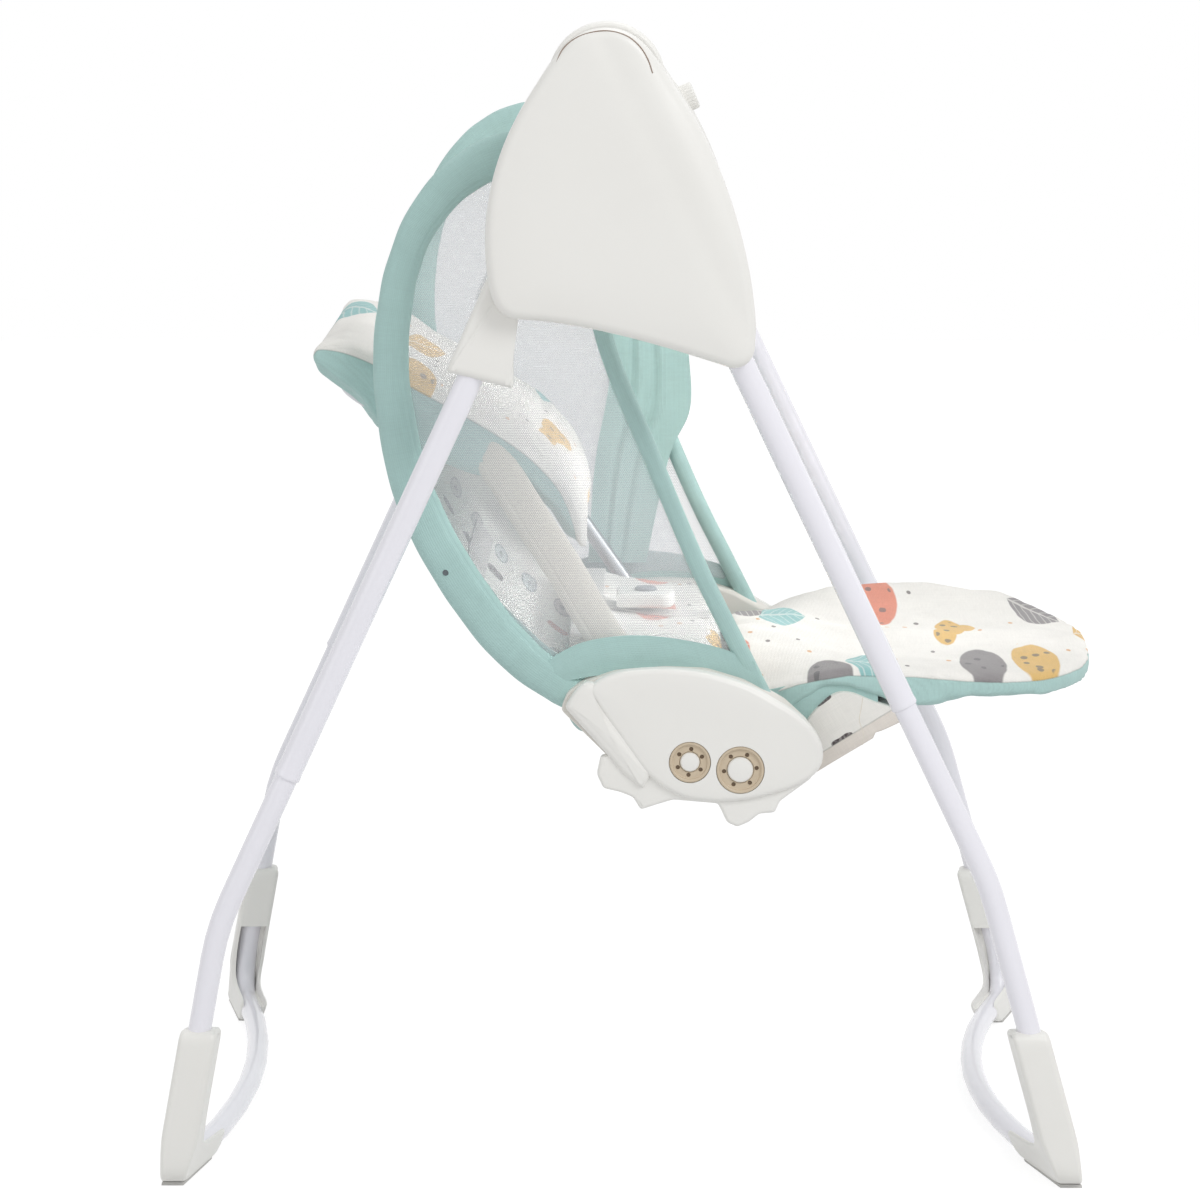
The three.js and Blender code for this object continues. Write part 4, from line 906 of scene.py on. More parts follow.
def ring_insert(name, x, z, radius, boss, side):
    """Vent ring: a lathe-turned dish with a rolled rim, six slots, and a pale boss. The dish's beige is
    painted shade of its recess, and dark discs under the slots are painted shadow.
    """
    face = BASE_OUTER - 2
    profile = [(0.01, -2.4), (radius - 0.6, -2.4), (radius - 0.2, -2), (radius, 0.6), (radius - 0.5, 1.3),
               (radius - 1.5, 1.5), (radius - 2.3, 1.0), (radius - 2.9, -0.4), (radius - 3.4, -0.7),
               (boss + 1.6, -0.7), (boss + 1.0, -1.6), (0.01, -1.6)]
    dish = lathe(f"{name}_ring_{side}", side, profile, (x, -face, z), (0, -1, 0), 64)
    start = 0.42 if name == "rear" else 0.1
    turns = np.arange(6) * np.pi / 3 + start
    slot_ring = (radius + boss - 2.4) / 2
    middles = [(x + slot_ring * math.cos(turn), z + slot_ring * math.sin(turn)) for turn in turns]
    slots = [prism("slot", side, circle(*at, 1.7, 20), face - 1.9, face + 3) for at in middles]
    carve(dish, *slots, sharp=30)
    # Dark discs under the six slots: painted shadow in the slots.
    slot_shadows = [prism(f"{name}_ring_well_{side}_{k}", side, circle(*at, 1.68, 20), face - 2.2, face - 1.7)
            for k, at in enumerate(middles)]
    cap = [(0.01, -1.2), (boss + 0.7, -1.2), (boss + 0.6, 0.2), (boss - 0.2, 1.1), (boss - 2, 1.5),
           (0.01, 1.7)]
    button = lathe(f"{name}_ring_boss_{side}", side, cap, (x, -face, z), (0, -1, 0), 48)
    rim = [(radius - 0.9, -0.3), (radius + 0.25, -0.3), (radius + 0.25, 0.9), (radius - 0.4, 1.75),
           (radius - 0.9, 1.7)]
    settle(dish, "seat", RING_RECESS_SHADE, "ring_plastic", f"{name}_ring_{side}")
    settle(button, "seat", CREAM, "housing")
    for piece in slot_shadows:
        settle(piece, "seat", RING_SLOT_SHADOW, "ring_plastic")
    return rim


def dial():
    """Speed dial: 24 shallow grips round a lathe-turned drum; its radius is r * (1 - 0.045 |sin 12 t|)."""
    axis = unit(np.array([0.919, 0.0, 0.394]))
    first, second = np.array([0, 1.0, 0]), np.cross(axis, (0, 1.0, 0))
    profile = np.array([(0.01, 0.3), (11.2, 0.3), (12, 1), (12, 9.6), (11.6, 11), (10.4, 11.8), (8, 12),
                        (0.01, 12)])
    t = np.linspace(0, 2 * np.pi, 192, endpoint=False)
    grip = 1 - 0.045 * np.abs(np.sin(12 * t))[None] * (profile[:, :1] > 10.2)
    turn = np.cos(t)[:, None] * first + np.sin(t)[:, None] * second
    out, along = (profile[:, :1] * grip)[..., None] * turn, (profile[:, 1:] * axis)[:, None]
    grid = np.array([35.9, 285, 810.2]) + out + along
    piece = closed_grid("dial_knob", grid, sharp=30)
    settle(piece, "speed_dial", CREAM, "housing", "speed_dial")


def recline_bar():
    """The bent bar of the backrest: up each side from the hinge, then turned in to run inside the back
    cushion, with a collar round the hinge tube at each end."""
    hinge = np.array([RECLINE[0], 0, RECLINE[1]])
    half = [(30, -192, 338), (-61, -192, 468), (-126, -170, 560), (-232, -170, 606)]
    corners = half + [(x, -y, z) for x, y, z in half[::-1]]
    bar = tube("recline_bar", "right", bent(corners, [24, 24, 60, 60, 24, 24], 6), 6.5, (0.3, 0, 1), 0.8, 24)
    settle(bar, "backrest", STEEL, "steel", "back_frame")
    for y in (-192, 192):
        eye = lathe("recline_collar", "right", [(8.4, -6), (15.6, -6), (17, -4.6), (17, 4.6), (15.6, 6),
                                                (8.4, 6)],
                    hinge + (0, y, 0), (0, 1, 0), 48, bored=True)
        settle(eye, "backrest", STEEL, "steel")


SIDES, LEGS = ("right", "left"), {"front": FRONT_LEG, "rear": REAR_LEG}
for each_side in SIDES:
    hub_cover(each_side)
    hub_arm(each_side)
    hanger(each_side)
    base_housing(each_side)
    ring_insert("rear", *RECLINE, 16, 6.8, each_side)
    ring_insert("front", *LEG_HINGE, 18.5, 9.2, each_side)
    for leg_name, leg in LEGS.items():
        leg_tube(leg_name, leg, each_side)
        boot(leg_name, leg, each_side)
for leg_name, leg in LEGS.items():
    floor_tube(leg_name, leg)
dial()
recline_bar()


# ---------------------------------------------------------------- cloth
def wander(*phases, scale=40.0, seed=1.0):
    """Slow ripples: the sum of four sines of the given lengths, in millimetres, with unrelated periods."""
    total = 0
    for k, rate in enumerate((1.0, 1.73, 2.61, 4.07)):
        swing = sum((0.7 + 0.3 * math.sin(seed * 3.1 + k * 1.7 + j)) * p for j, p in enumerate(phases))
        total = total + np.sin(swing * 2 * np.pi * rate / scale + seed * (k + 1) * 2.3) / rate
    return total / 1.9


LOOP = spline(LOOP_POINTS, 360)
LOOP_RUN = np.r_[0, np.cumsum(np.linalg.norm(np.diff(LOOP, axis=0), axis=1))]


def on_loop(distance):
    """Places, directions and outward directions on the side loop, a distance along it from its rear end."""
    place = np.stack([np.interp(distance, LOOP_RUN, LOOP[:, k]) for k in (0, 1)], -1)
    ahead = np.stack([np.interp(np.asarray(distance) + 4, LOOP_RUN, LOOP[:, k]) for k in (0, 1)], -1)
    behind = np.stack([np.interp(np.asarray(distance) - 4, LOOP_RUN, LOOP[:, k]) for k in (0, 1)], -1)
    forward = unit(ahead - behind)
    return place, forward, np.stack([-forward[..., 1], forward[..., 0]], -1)


def band_reach(distance):
    """How far the sleeve stands outside and inside the tube: wide up the back, narrow down the front."""
    run = [0, 40, 90, 140, 220, 330, 430, 466, 515, 550, 590, 650, 1060]
    outside = np.interp(distance, run, [12, 16, 15, 12.5, 11.5, 11.7, 12, 12, 11.5, 11.5, 11, 7, 7])
    inside = np.interp(distance, run, [14, 14, 18, 21, 21, 16, 13.5, 16, 20, 26, 26, 6.8, 6.8])
    return outside, inside


def sleeve(name, side, start, end, count, pucker):
    """Cloth sleeve round the side loop. Where c runs from -1 at its inner edge to 1 at its outer edge, it
    stands h (1 - |c|^2.6)^0.6 each side of the loop's plane, with slow ripples and a hem near its inner
    edge."""
    s = np.linspace(start, end, count)
    place, _, out = on_loop(s)
    outside, inside = (reach[:, None] for reach in band_reach(s))
    t = np.linspace(0, 2 * np.pi, 96, endpoint=False)[None]
    c = np.cos(t)
    across = (outside - inside) / 2 + (outside + inside) / 2 * c
    full = 1 - np.abs(c)**2.6
    wide = smooth(9, 12, (outside + inside) / 2)
    ripple = wander(s[:, None], across * 0.4, scale=46, seed=pucker) * 0.5
    hem = np.exp(-((across + inside - 4.2) / 1.1)**2) * wide
    rise = (7.2 + 1.2 * wide) * full**0.6 + (ripple - 0.7 * hem) * full**0.4
    shift = across + 0.5 * wander(s[:, None], scale=70, seed=pucker + 5) * wide
    grid = np.stack([place[:, None, 0] + out[:, None, 0] * shift, -LOOP_PLANE + np.sign(np.sin(t)) * rise,
                     place[:, None, 1] + out[:, None, 1] * shift], -1)
    round_it = np.arange(97) * float(np.mean(outside + inside)) * 2 / 96
    uv = np.stack(np.broadcast_arrays(round_it[None], s[:, None]), -1) * 0.001
    piece = closed_grid(f"{name}_{side}", mirrored(side, grid), sharp=None, uv=uv)
    settle(piece, "seat", MINT_UV, "mint_fabric")


def side_loop(side):
    """The bent tube inside the side band."""
    path = even(spline(LOOP_POINTS, 360), 180)
    line = np.column_stack([path[:, 0], np.full(180, -LOOP_PLANE), path[:, 1]])
    piece = tube(f"side_loop_tube_{side}", side, line, 6.5, (0, 1, 0), 0.8, 24)
    settle(piece, "seat", STEEL, "steel", f"side_loop_{side}")


def eyelet(side):
    """Small punched eyelet in the side band, low on its rear run."""
    profile = [(0.01, -1.5), (2.4, -1.5), (2.4, 0.2), (2.0, 0.6), (1.2, 0.3), (0.01, 0.3)]
    piece = lathe(f"band_eyelet_{side}", side, profile, (-151, -223.2, 472), (0, -1, 0), 24)
    settle(piece, "seat", EYELET_DARK, "inner_plastic")


def under_edge(side):
    """Mint strip along the foot of the side panel, tucked in behind the base housing's top."""
    top = spline([(-74, 401), (-62, 409), (-46, 416.5), (-20, 421.5), (6, 422), (40, 417.5), (66, 411),
                  (88, 402)], 90)
    low = spline([(-66, 384), (-52, 388), (-36, 391), (-10, 394), (12, 394.5), (40, 393), (68, 386),
                  (98, 373)], 90)
    rows = np.r_[np.linspace(0, 1, 9), np.linspace(1, 0, 9)]
    face = np.r_[np.ones(9), -np.ones(9)]
    grid = []
    for r, f in zip(rows, face):
        line = top + (low - top) * r
        swell = f * (0.9 + 1.5 * math.sin(math.pi * min(max(r, 0.04), 0.96)))
        y = -(219.6 + 2.0 * r) - swell - 0.35 * wander(line[:, 0], scale=34, seed=r * 2 + 1) * (f > 0)
        grid.append(np.column_stack([line[:, 0], y, line[:, 1]]))
    grid = np.swapaxes(np.stack(grid), 0, 1)
    span = np.linspace(0, 0.18, 90)[:, None]
    uv = np.stack(np.broadcast_arrays(np.linspace(0, 0.05, 19)[None], span), -1)
    piece = closed_grid(f"lower_band_{side}", mirrored(side, grid), sharp=50, uv=uv)
    settle(piece, "seat", MINT_UV, "mint_fabric")


def foot_line(x):
    """The low curve along which the net is sewn to the seat."""
    return 405 - 0.0031 * (x - 22)**2


def side_net(side):
    """The see-through side: rows of one outline drawn in towards one point, sagging inwards by up to 5 mm.
    Points of the loop's edge that lie under the foot line are dropped, and the foot line closes the rim."""
    s = np.linspace(16, 1046, 300)
    place, _, out = on_loop(s)
    inside = band_reach(s)[1]
    rim = place - out * (np.maximum(inside - 5, 6.9))[:, None]
    rim = rim[rim[:, 1] > foot_line(rim[:, 0]) + 1]
    across = np.linspace(rim[-1, 0], rim[0, 0], 42)[1:-1]
    foot = np.stack([across, foot_line(across)], 1)
    rim = soften(even(np.vstack([rim, foot]), 320, True), 2)
    centre = np.array([-88.0, 600.0])
    f = np.r_[0.02, np.linspace(0.08, 1, 26)]
    flat = centre + (rim - centre)[None] * f[:, None, None]
    sag = 5 * (1 - f[:, None]**2) + 0.5 * wander(flat[..., 0], flat[..., 1], scale=120, seed=2)
    y = -LOOP_PLANE + sag
    near = np.stack([flat[..., 0], y - 0.3, flat[..., 1]], -1)
    back = np.stack([flat[..., 0], y + 0.3, flat[..., 1]], -1)[::-1]
    grid = np.vstack([near, back])
    uv = np.concatenate([grid[:, :, [0, 2]], grid[:, :1, [0, 2]]], 1) * 0.001
    piece = closed_grid(f"side_net_{side}", mirrored(side, grid), sharp=None, uv=uv)
    settle(piece, "seat", WHITE_NET, "side_mesh", f"side_panel_{side}")
    x, z = rim[:, 0], rim[:, 1]
    area = abs(np.sum(x * np.roll(z, -1) - z * np.roll(x, -1))) / 2e6


def zoned(piece, value):
    """Marks each point of a piece with value(x, y, z), in millimetres: how far it lies inside the sewn line
    where its cloth changes."""
    x, y, z = points_of(piece).T * 1000
    zone = piece.data.attributes.new("zone", "FLOAT", "POINT").data
    zone.foreach_set("value", (value(x, y, z) * 0.001).astype(np.float32))


def above_line(x, z, line):
    """How far each point lies to the left of an open line, in millimetres, by its nearest place on it."""
    line = spline(line, 160)
    left = unit(np.gradient(line, axis=0))
    left = np.stack([-left[:, 1], left[:, 0]], 1)
    nearest = np.argmin((x[:, None] - line[None, :, 0])**2 + (z[:, None] - line[None, :, 1])**2, axis=1)
    gap = np.stack([x, z], 1) - line[nearest]
    return (gap * left[nearest]).sum(1)


def bucket():
    """The seat's lower back: one cloth from side to side, slung a little lower in its middle, whose edges
    turn up along the side loops. It is print inside, mint outside, and a band of grey cloth lies across it."""
    line = spline([(-181, 551), (-172, 524), (-160, 500), (-132, 455), (-98, 416), (-71, 393.5),
                   (-46, 379)], 80)
    ahead = unit(np.gradient(line, axis=0))
    inwards = np.stack([-ahead[:, 1], ahead[:, 0]], 1)

    def slung(rows, section, lift):
        """The cloth along some of the line's rows, with a section of (across, height above the line)."""
        across, high = section[None, :, 0], section[None, :, 1] + lift
        high = high + 0.7 * wander(np.linspace(0, 190, 80)[rows, None], across, scale=90, seed=3)
        return np.stack(np.broadcast_arrays(line[rows, None, 0] + inwards[rows, None, 0] * high, across,
                                            line[rows, None, 1] + inwards[rows, None, 1] * high), -1)

    half = spline([(-206.4, 13), (-205.4, 5), (-199, 0.8), (-150, -1.5), (0, -3), (150, -1.5), (199, 1.5),
                   (205.4, 10), (206.4, 25)], 140)
    turn = unit(np.gradient(half, axis=0))
    aside = np.stack([-turn[:, 1], turn[:, 0]], 1)
    ring = np.vstack([half - aside * 1.1, (half + aside * 1.1)[::-1]])
    piece = closed_grid("seat_back_cloth", slung(np.arange(80), ring, 0), sharp=50, flat=("first", "last"))
    inside = np.r_[-np.ones(140), np.ones(140)]
    zoned(piece, lambda x, y, z: 3 * np.tile(inside, 80))
    settle(piece, "seat", STROKE_CLOTH, "print_fabric", "bucket_panel")
    across = np.linspace(-190, 118, 90)
    band = np.column_stack([across, np.interp(across, half[:, 0], half[:, 1])])
    rows = np.arange(34, 43)
    faces = [slung(rows, band, lift) for lift in (2.6, 1.3)]
    patch = closed_grid("seat_back_grey_band", np.concatenate([faces[0], faces[1][:, ::-1]], 1), sharp=50,
                        flat=("first", "last"))
    settle(patch, "seat", GREY_CLOTH, "print_fabric")


def under_fold():
    """Slack of the seat cloth that hangs in a fold behind the base."""
    fold = soften(spline([(-50, 376), (-59, 360), (-57, 345), (-48, 335), (-37, 336), (-30, 352),
                          (-36, 370)], 72, True), 1)
    y = 186 * np.sin(np.linspace(-np.pi / 2, np.pi / 2, 61))
    grid = across_seat(anticlockwise(fold), y, 8 * (np.abs(y) / 186)**14)
    piece = closed_grid("seat_cloth_fold", grid, sharp=None)
    reshape(piece, lambda x, y, z: np.stack([0 * x, 0 * x, 1.2 * wander(y, scale=120, seed=12)], 1))
    settle(piece, "seat", MINT, "mint_fabric")


def recline_sleeve(side):
    """Flat cream sleeve over an arm of the recline bar, with a stitched fold along its rear edge."""
    line = spline([(-124, 566), (-110, 546), (-84, 506), (-61, 472), (-31, 421), (2, 376), (28, 342)], 110)
    ahead = unit(np.gradient(line, axis=0))
    rear = np.stack([ahead[:, 1], -ahead[:, 0]], 1)
    t = np.linspace(0, 2 * np.pi, 72, endpoint=False)[None]
    c = np.cos(t)
    narrow = 15 - 3 * smooth(80, 109, np.arange(110))[:, None]
    fold = np.exp(-((c - 0.5) / 0.06)**2)
    ripple = 0.35 * wander(np.arange(110)[:, None] * 2.0, scale=60, seed=21)
    rise = 7.2 * (1 - np.abs(c)**2.6)**0.55 - 1.0 * fold + ripple
    place = np.interp(line[:, 0], [-126, -61], [-170, -192])[:, None]
    grid = np.stack([line[:, None, 0] + rear[:, None, 0] * c * narrow, place + np.sign(np.sin(t)) * rise,
                     line[:, None, 1] + rear[:, None, 1] * c * narrow], -1)
    piece = closed_grid(f"recline_sleeve_{side}", mirrored(side, grid), sharp=None)
    settle(piece, "backrest", CREAM_CLOTH, "print_fabric")


def across_seat(ring, places, insets):
    """Rows of a side profile set at places across the seat, each drawn in by its own inset."""
    n = outward(ring)
    profiles = [ring - n * inset for inset in insets]
    rows = [np.column_stack([p[:, 0], np.full(len(p), y), p[:, 1]]) for p, y in zip(profiles, places)]
    return np.stack(rows)


def padded_slab(name, half, profile, rows, crown):
    """Slab across the seat: a side profile, drawn in by e (1 - sqrt(1 - t^2)) as it rolls over each side."""
    ring = anticlockwise(even(soften(even(profile, rows, True), 1.5), rows, True))
    y = half * np.sin(np.linspace(-np.pi / 2, np.pi / 2, 61))
    t = np.clip((np.abs(y) - (half - crown)) / crown, 0, 1)
    inset = crown * (1 - np.sqrt(1 - t**2)) * 0.9
    return closed_grid(name, across_seat(ring, y, inset), sharp=None, flat=("first", "last"))


def puff(piece, voxel, cap, tension=15.0):
    """Inflates a pad: remeshed to even cells, run as cloth under pressure for 20 frames without gravity,
    each point then held to at most cap millimetres from its start, and subdivided once."""
    remesh = piece.modifiers.new("remesh", "REMESH")
    remesh.mode, remesh.voxel_size = "VOXEL", voxel * 0.001
    evaluated(piece)
    start = points_of(piece)
    cloth_modifier = piece.modifiers.new("air", "CLOTH")
    settings = cloth_modifier.settings
    settings.use_pressure, settings.uniform_pressure_force = True, 4.0
    settings.effector_weights.gravity = 0
    settings.tension_stiffness = settings.compression_stiffness = tension
    settings.quality = 4
    cloth_modifier.point_cache.frame_start, cloth_modifier.point_cache.frame_end = 1, 20
    for number in range(1, 21):
        bpy.context.scene.frame_set(number)
    evaluated(piece)
    bpy.context.scene.frame_set(1)
    move = points_of(piece) - start
    far = np.linalg.norm(move, axis=1, keepdims=True)
    held = start + move * np.minimum(1, cap * 0.001 / np.maximum(far, 1e-9))
    piece.data.vertices.foreach_set("co", held.ravel())
    finer = piece.modifiers.new("finer", "SUBSURF")
    finer.levels = finer.render_levels = 1
    evaluated(piece)
    piece.data.polygons.foreach_set("use_smooth", np.ones(len(piece.data.polygons), bool))


def reshape(piece, change):
    """Moves every point of a mesh by change(x, y, z), all in millimetres."""
    p = points_of(piece) * 1000
    p = p + change(p[:, 0], p[:, 1], p[:, 2])
    piece.data.vertices.foreach_set("co", (p * 0.001).astype(np.float32).ravel())
    piece.data.update()


# The back cushion from the side: its top, from its head to the tip of its foot, and its underside back.
BACK_TOP = [(-260, 636), (-254, 643.5), (-235, 643), (-207, 633), (-178, 615), (-138, 593), (-96, 567),
            (-76, 550), (-60, 531), (-49, 505), (-44, 478)]
BACK_UNDER = [(-49, 479), (-62, 505), (-80, 527), (-96, 540), (-125, 543), (-157, 555), (-190, 572),
              (-206, 581), (-222, 602), (-236, 613), (-250, 624), (-260, 631)]
SEAT_TOP = [(-64, 392), (-56, 406), (-40, 410), (-20, 406), (20, 401), (48, 399), (64, 394), (71, 384)]


def back_cushion():
    """Reclined back cushion: a wedge that is deepest behind its middle and thins to a tip at its foot. Print
    on top, mint sides and underside, with shallow sewn channels across."""
    profile = np.vstack([spline(BACK_TOP, 90), spline(BACK_UNDER, 90)])
    piece = padded_slab("back_cushion", 181, profile, 170, 4)
    puff(piece, 4.5, 4.0)
    along = unit(np.array([0.9, -0.44]))

    def channels(x, y, z):
        top = smooth(-6, 1, above_line(x, z, BACK_TOP))
        run = (x + 256) * along[0] + (z - 640) * along[1]
        groove = sum(np.exp(-((run - at) / 4.0)**2) for at in (62, 128, 188)) * 2.2
        crown = 4.0 * (1 - (y / 186)**4)
        crease = 0.7 * wander(run, y * 0.6, scale=75, seed=4)
        depth = (crown + crease - groove * smooth(150, 120, np.abs(y))) * top
        wrinkle = 1.1 * wander(run + z * 0.6, scale=52, seed=5) * smooth(176, 182, np.abs(y)) * (1 - top)
        return np.stack([0.44 * depth, np.sign(y) * wrinkle, 0.9 * depth], 1)

    reshape(piece, channels)
    zoned(piece, lambda x, y, z: above_line(x, z, BACK_TOP) + 4.5)
    settle(piece, "backrest", BACK_PRINT, "print_fabric", "back_cushion")


def seat_cushion():
    """Seat cushion on the pan: high at its rear edge, dished in the middle."""
    profile = np.vstack([spline(SEAT_TOP, 80), [(72, 372), (72, 354), (-32, 354), (-54, 374)]])
    piece = padded_slab("seat_cushion", 181, profile, 120, 14)
    puff(piece, 5.0, 5.0)

    def dish(x, y, z):
        top = smooth(380, 400, z)
        dish = 3.5 * np.exp(-((x - 5) / 55)**2 - (y / 110)**2)
        depth = (1.2 * wander(x, y, scale=110, seed=6) - dish) * top
        return np.stack([0 * depth, 0 * depth, depth], 1)

    reshape(piece, dish)
    zoned(piece, lambda x, y, z: above_line(x, z, SEAT_TOP) + 34)
    settle(piece, "seat", SEAT_PRINT, "print_fabric", "seat_cushion")


def rest_outline():
    """Leg rest from above: its tucked rear edge, and two curves on each side that meet in a broad nose."""
    w = 192.0
    half = bezier([(74, 0), (74, -0.5 * w), (70, -0.84 * w), (104, -0.97 * w)],
                  [(104, -0.97 * w), (130, -1.04 * w), (262, -1.03 * w), (318, -0.86 * w)],
                  [(318, -0.86 * w), (364, -0.66 * w), (371, -0.3 * w), (371, 0)])
    return anticlockwise(soften(even(np.vstack([half, half[::-1] * (1, -1)]), 420, True), 4))


def rest_heights(x, y, rim):
    """Top and underside of the leg rest. Its long edges droop at the rear and stand higher on the left, its
    middle lies lower between them with a low swell along its centre, and its sides are deepest where the
    frame's arms turn in."""
    droop = np.interp(x, [74, 104, 122, 141, 163], [26, 15.5, 8.5, 4, 0]) * smooth(70, 180, np.abs(y))
    edge = np.interp(x, [74, 163, 215, 256, 283, 318, 345, 372],
                     [389, 388, 386.5, 382, 380, 379.5, 380, 380]) - droop
    edge = edge + np.interp(x, [110, 160, 206, 247, 309, 345], [0, 6, 10.5, 15, 14, 4]) * smooth(-60, 185, y)
    middle = np.interp(x, [74, 100, 150, 197, 260, 329, 372], [389, 387, 382, 379, 378, 379, 380])
    middle = middle + 5.5 * np.exp(-((y - 6) / 34)**2) * smooth(120, 230, x)
    top = middle + (edge - middle) * smooth(0.35, 1, rim)
    side = np.interp(x, [74, 100, 114, 130, 144, 163, 186, 208, 231, 260, 298, 327, 372],
                     [350, 350, 353, 366, 377, 377, 369, 361.5, 362, 367.5, 364.5, 363, 364])
    under = top - 9
    return top, under + (np.minimum(side, top - 3.5) - under) * smooth(0.86, 0.99, rim)


def leg_rest():
    """Leg rest pad: print on top, mint round its side and underneath."""
    rim = rest_outline()
    n = outward(rim)
    centre = np.array([225.0, 0.0])
    grid = []
    steps = np.r_[0.03, np.linspace(0.12, 0.98, 26)]
    for f in steps:
        p = centre + (rim - n * 3 - centre) * f
        puffed = 1.4 * (1 - f**4) + 0.8 * wander(p[:, 0], p[:, 1], scale=95, seed=8)
        grid.append(np.column_stack([p, rest_heights(p[:, 0], p[:, 1], f)[0] + puffed]))
    top, under = rest_heights(rim[:, 0], rim[:, 1], np.ones(len(rim)))
    for a in np.linspace(0.25, np.pi - 0.25, 9):
        swell = 0.8 + 0.5 * wander(rim[:, 0], rim[:, 1], scale=80, seed=9)
        p = rim + n * (swell * math.sin(a) - 1.6)[:, None]
        grid.append(np.column_stack([p, (top + under) / 2 + (top - under) / 2 * math.cos(a)]))
    for f in steps[::-1]:
        p = centre + (rim - n * 3 - centre) * f
        grid.append(np.column_stack([p, rest_heights(p[:, 0], p[:, 1], f)[1]]))
    piece = closed_grid("leg_rest", np.stack(grid), sharp=None)
    puff(piece, 4.0, 3.0)
    around = np.arctan2(rim[:, 1], rim[:, 0] - centre[0])
    order = np.argsort(around)
    radius = np.hypot(rim[:, 0] - centre[0], rim[:, 1])[order]

    def under_top(x, y, z):
        """Height over a line 2.6 mm below the top edge."""
        reach = np.interp(np.arctan2(y, x - centre[0]), around[order], radius, period=2 * np.pi)
        f = np.hypot(x - centre[0], y) / reach
        return z - rest_heights(x, y, np.clip(f, 0, 1))[0] + 2.6

    zoned(piece, under_top)
    settle(piece, "seat", REST_PRINT, "print_fabric", "leg_rest_pad")


def rest_gusset(side):
    """Mint cloth that closes the gap between the leg rest's rim and the roll under it."""
    upper = spline([(80, 372), (104, 374), (130, 381), (155, 384), (186, 376)], 30)
    lower = spline([(186, 362), (165, 361), (140, 354), (121, 344), (104, 338), (80, 333)], 30)
    piece = prism(f"rest_gusset_{side}", side, np.vstack([upper, lower]), 183.6, 185.2)
    settle(piece, "seat", MINT, "mint_fabric")


def apron():
    """Soft roll under the front of the seat, off-white above a beige strip, with rows of short strokes."""
    profile = [(112, 291), (150, 315), (199, 345), (210, 351), (206, 358), (190, 361), (170, 361),
               (150, 358), (134, 350), (121, 334), (113, 312)]
    ring = anticlockwise(soften(even(profile, 120, True), 4.0))
    n = outward(ring)
    grid = []
    for yy in 189 * np.sin(np.linspace(-np.pi / 2, np.pi / 2, 81)):
        t = np.clip((abs(yy) - 185) / 4, 0, 1)
        swell = 13.5 * smooth(166, 182, abs(yy)) * np.exp(-((ring[:, 0] - 156) / 24)**2) * (ring[:, 1] > 335)
        p = ring - n * 1.5 * (1 - math.sqrt(1 - t * t)) + np.column_stack([0 * swell, swell])
        grid.append(np.column_stack([p[:, 0], np.full(120, yy), p[:, 1]]))
    piece = closed_grid("front_roll", np.stack(grid), sharp=None, flat=("first", "last"))
    zoned(piece, lambda x, y, z: (z - 291) * 0.848 - (x - 112) * 0.53 - 12)
    settle(piece, "seat", APRON_PRINT, "print_fabric", "front_apron")
    for side in SIDES:
        seam = spline([(174, 368), (173, 360), (171.5, 350), (175, 338), (174, 330)], 40)
        line = np.column_stack([seam[:, 0], np.full(40, -188.8), seam[:, 1]])
        stitch = tube(f"front_roll_seam_{side}", side, line, 0.4, (0, 1, 0), 0.3, 8)
        settle(stitch, "seat", CREAM_CLOTH, "print_fabric")


def arm_sleeve():
    """Cloth that hangs inside the left loop, with two long folds."""
    edge_back = spline([(-34, 702), (-26, 590), (-40, 500), (-46, 414)], 80)
    edge_front = spline([(38, 692), (40, 610), (42, 548), (26, 512), (4, 414)], 80)
    u = np.linspace(0, 1, 46)[None, :, None]
    flat = edge_back[:, None] * (1 - u) + edge_front[:, None] * u
    u = u[..., 0]
    folds = -3.4 * np.exp(-((u - 0.28) / 0.035)**2) - 2.6 * np.exp(-((u - 0.55) / 0.04)**2)
    folds = folds + 2.0 * np.exp(-((u - 0.36) / 0.05)**2) + 1.5 * np.exp(-((u - 0.64) / 0.06)**2)
    fall = smooth(0.02, 0.25, np.linspace(0, 1, 80))[:, None]
    y = 203 - (folds * fall + 0.6 * wander(flat[..., 0], flat[..., 1] * 0.4, scale=50, seed=7)) * 0.5
    near = np.stack([flat[..., 0], y - 1.0, flat[..., 1]], -1)
    back = np.stack([flat[..., 0], y + 1.0, flat[..., 1]], -1)[:, ::-1]
    piece = closed_grid("arm_cloth_left", np.concatenate([near, back], 1), sharp=50)
    settle(piece, "seat", MINT, "mint_fabric", "left_arm_sleeve")


def harness():
    """Crotch strap and waist belt, flat webbing that lies on the cushion."""
    crotch = spline([(-49, 0, 413.2), (-20, 0, 409.6), (20, 0, 403.6), (56, 0, 401.9)], 50)
    waist = spline([(-43, -168, 413.4), (-43, -80, 412.2), (-43, 0, 414.6), (-43, 80, 412.2),
                    (-43, 168, 413.4)], 120)
    for name, line, half, reference in (("crotch_strap", crotch, 17, (0, 1, 0)),
                                        ("waist_belt", waist, 13, (1, 0, 0))):
        c = np.linspace(0, 2 * np.pi, 28, endpoint=False)
        section = np.column_stack([half * np.sign(np.cos(c)) * np.abs(np.cos(c))**0.35,
                                   1.1 * np.sign(np.sin(c)) * np.abs(np.sin(c))**0.5])
        piece = closed_grid(name, sweep(line, section, reference), sharp=50)
        settle(piece, "seat", WEBBING, "mint_fabric")
    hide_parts("harness_straps")


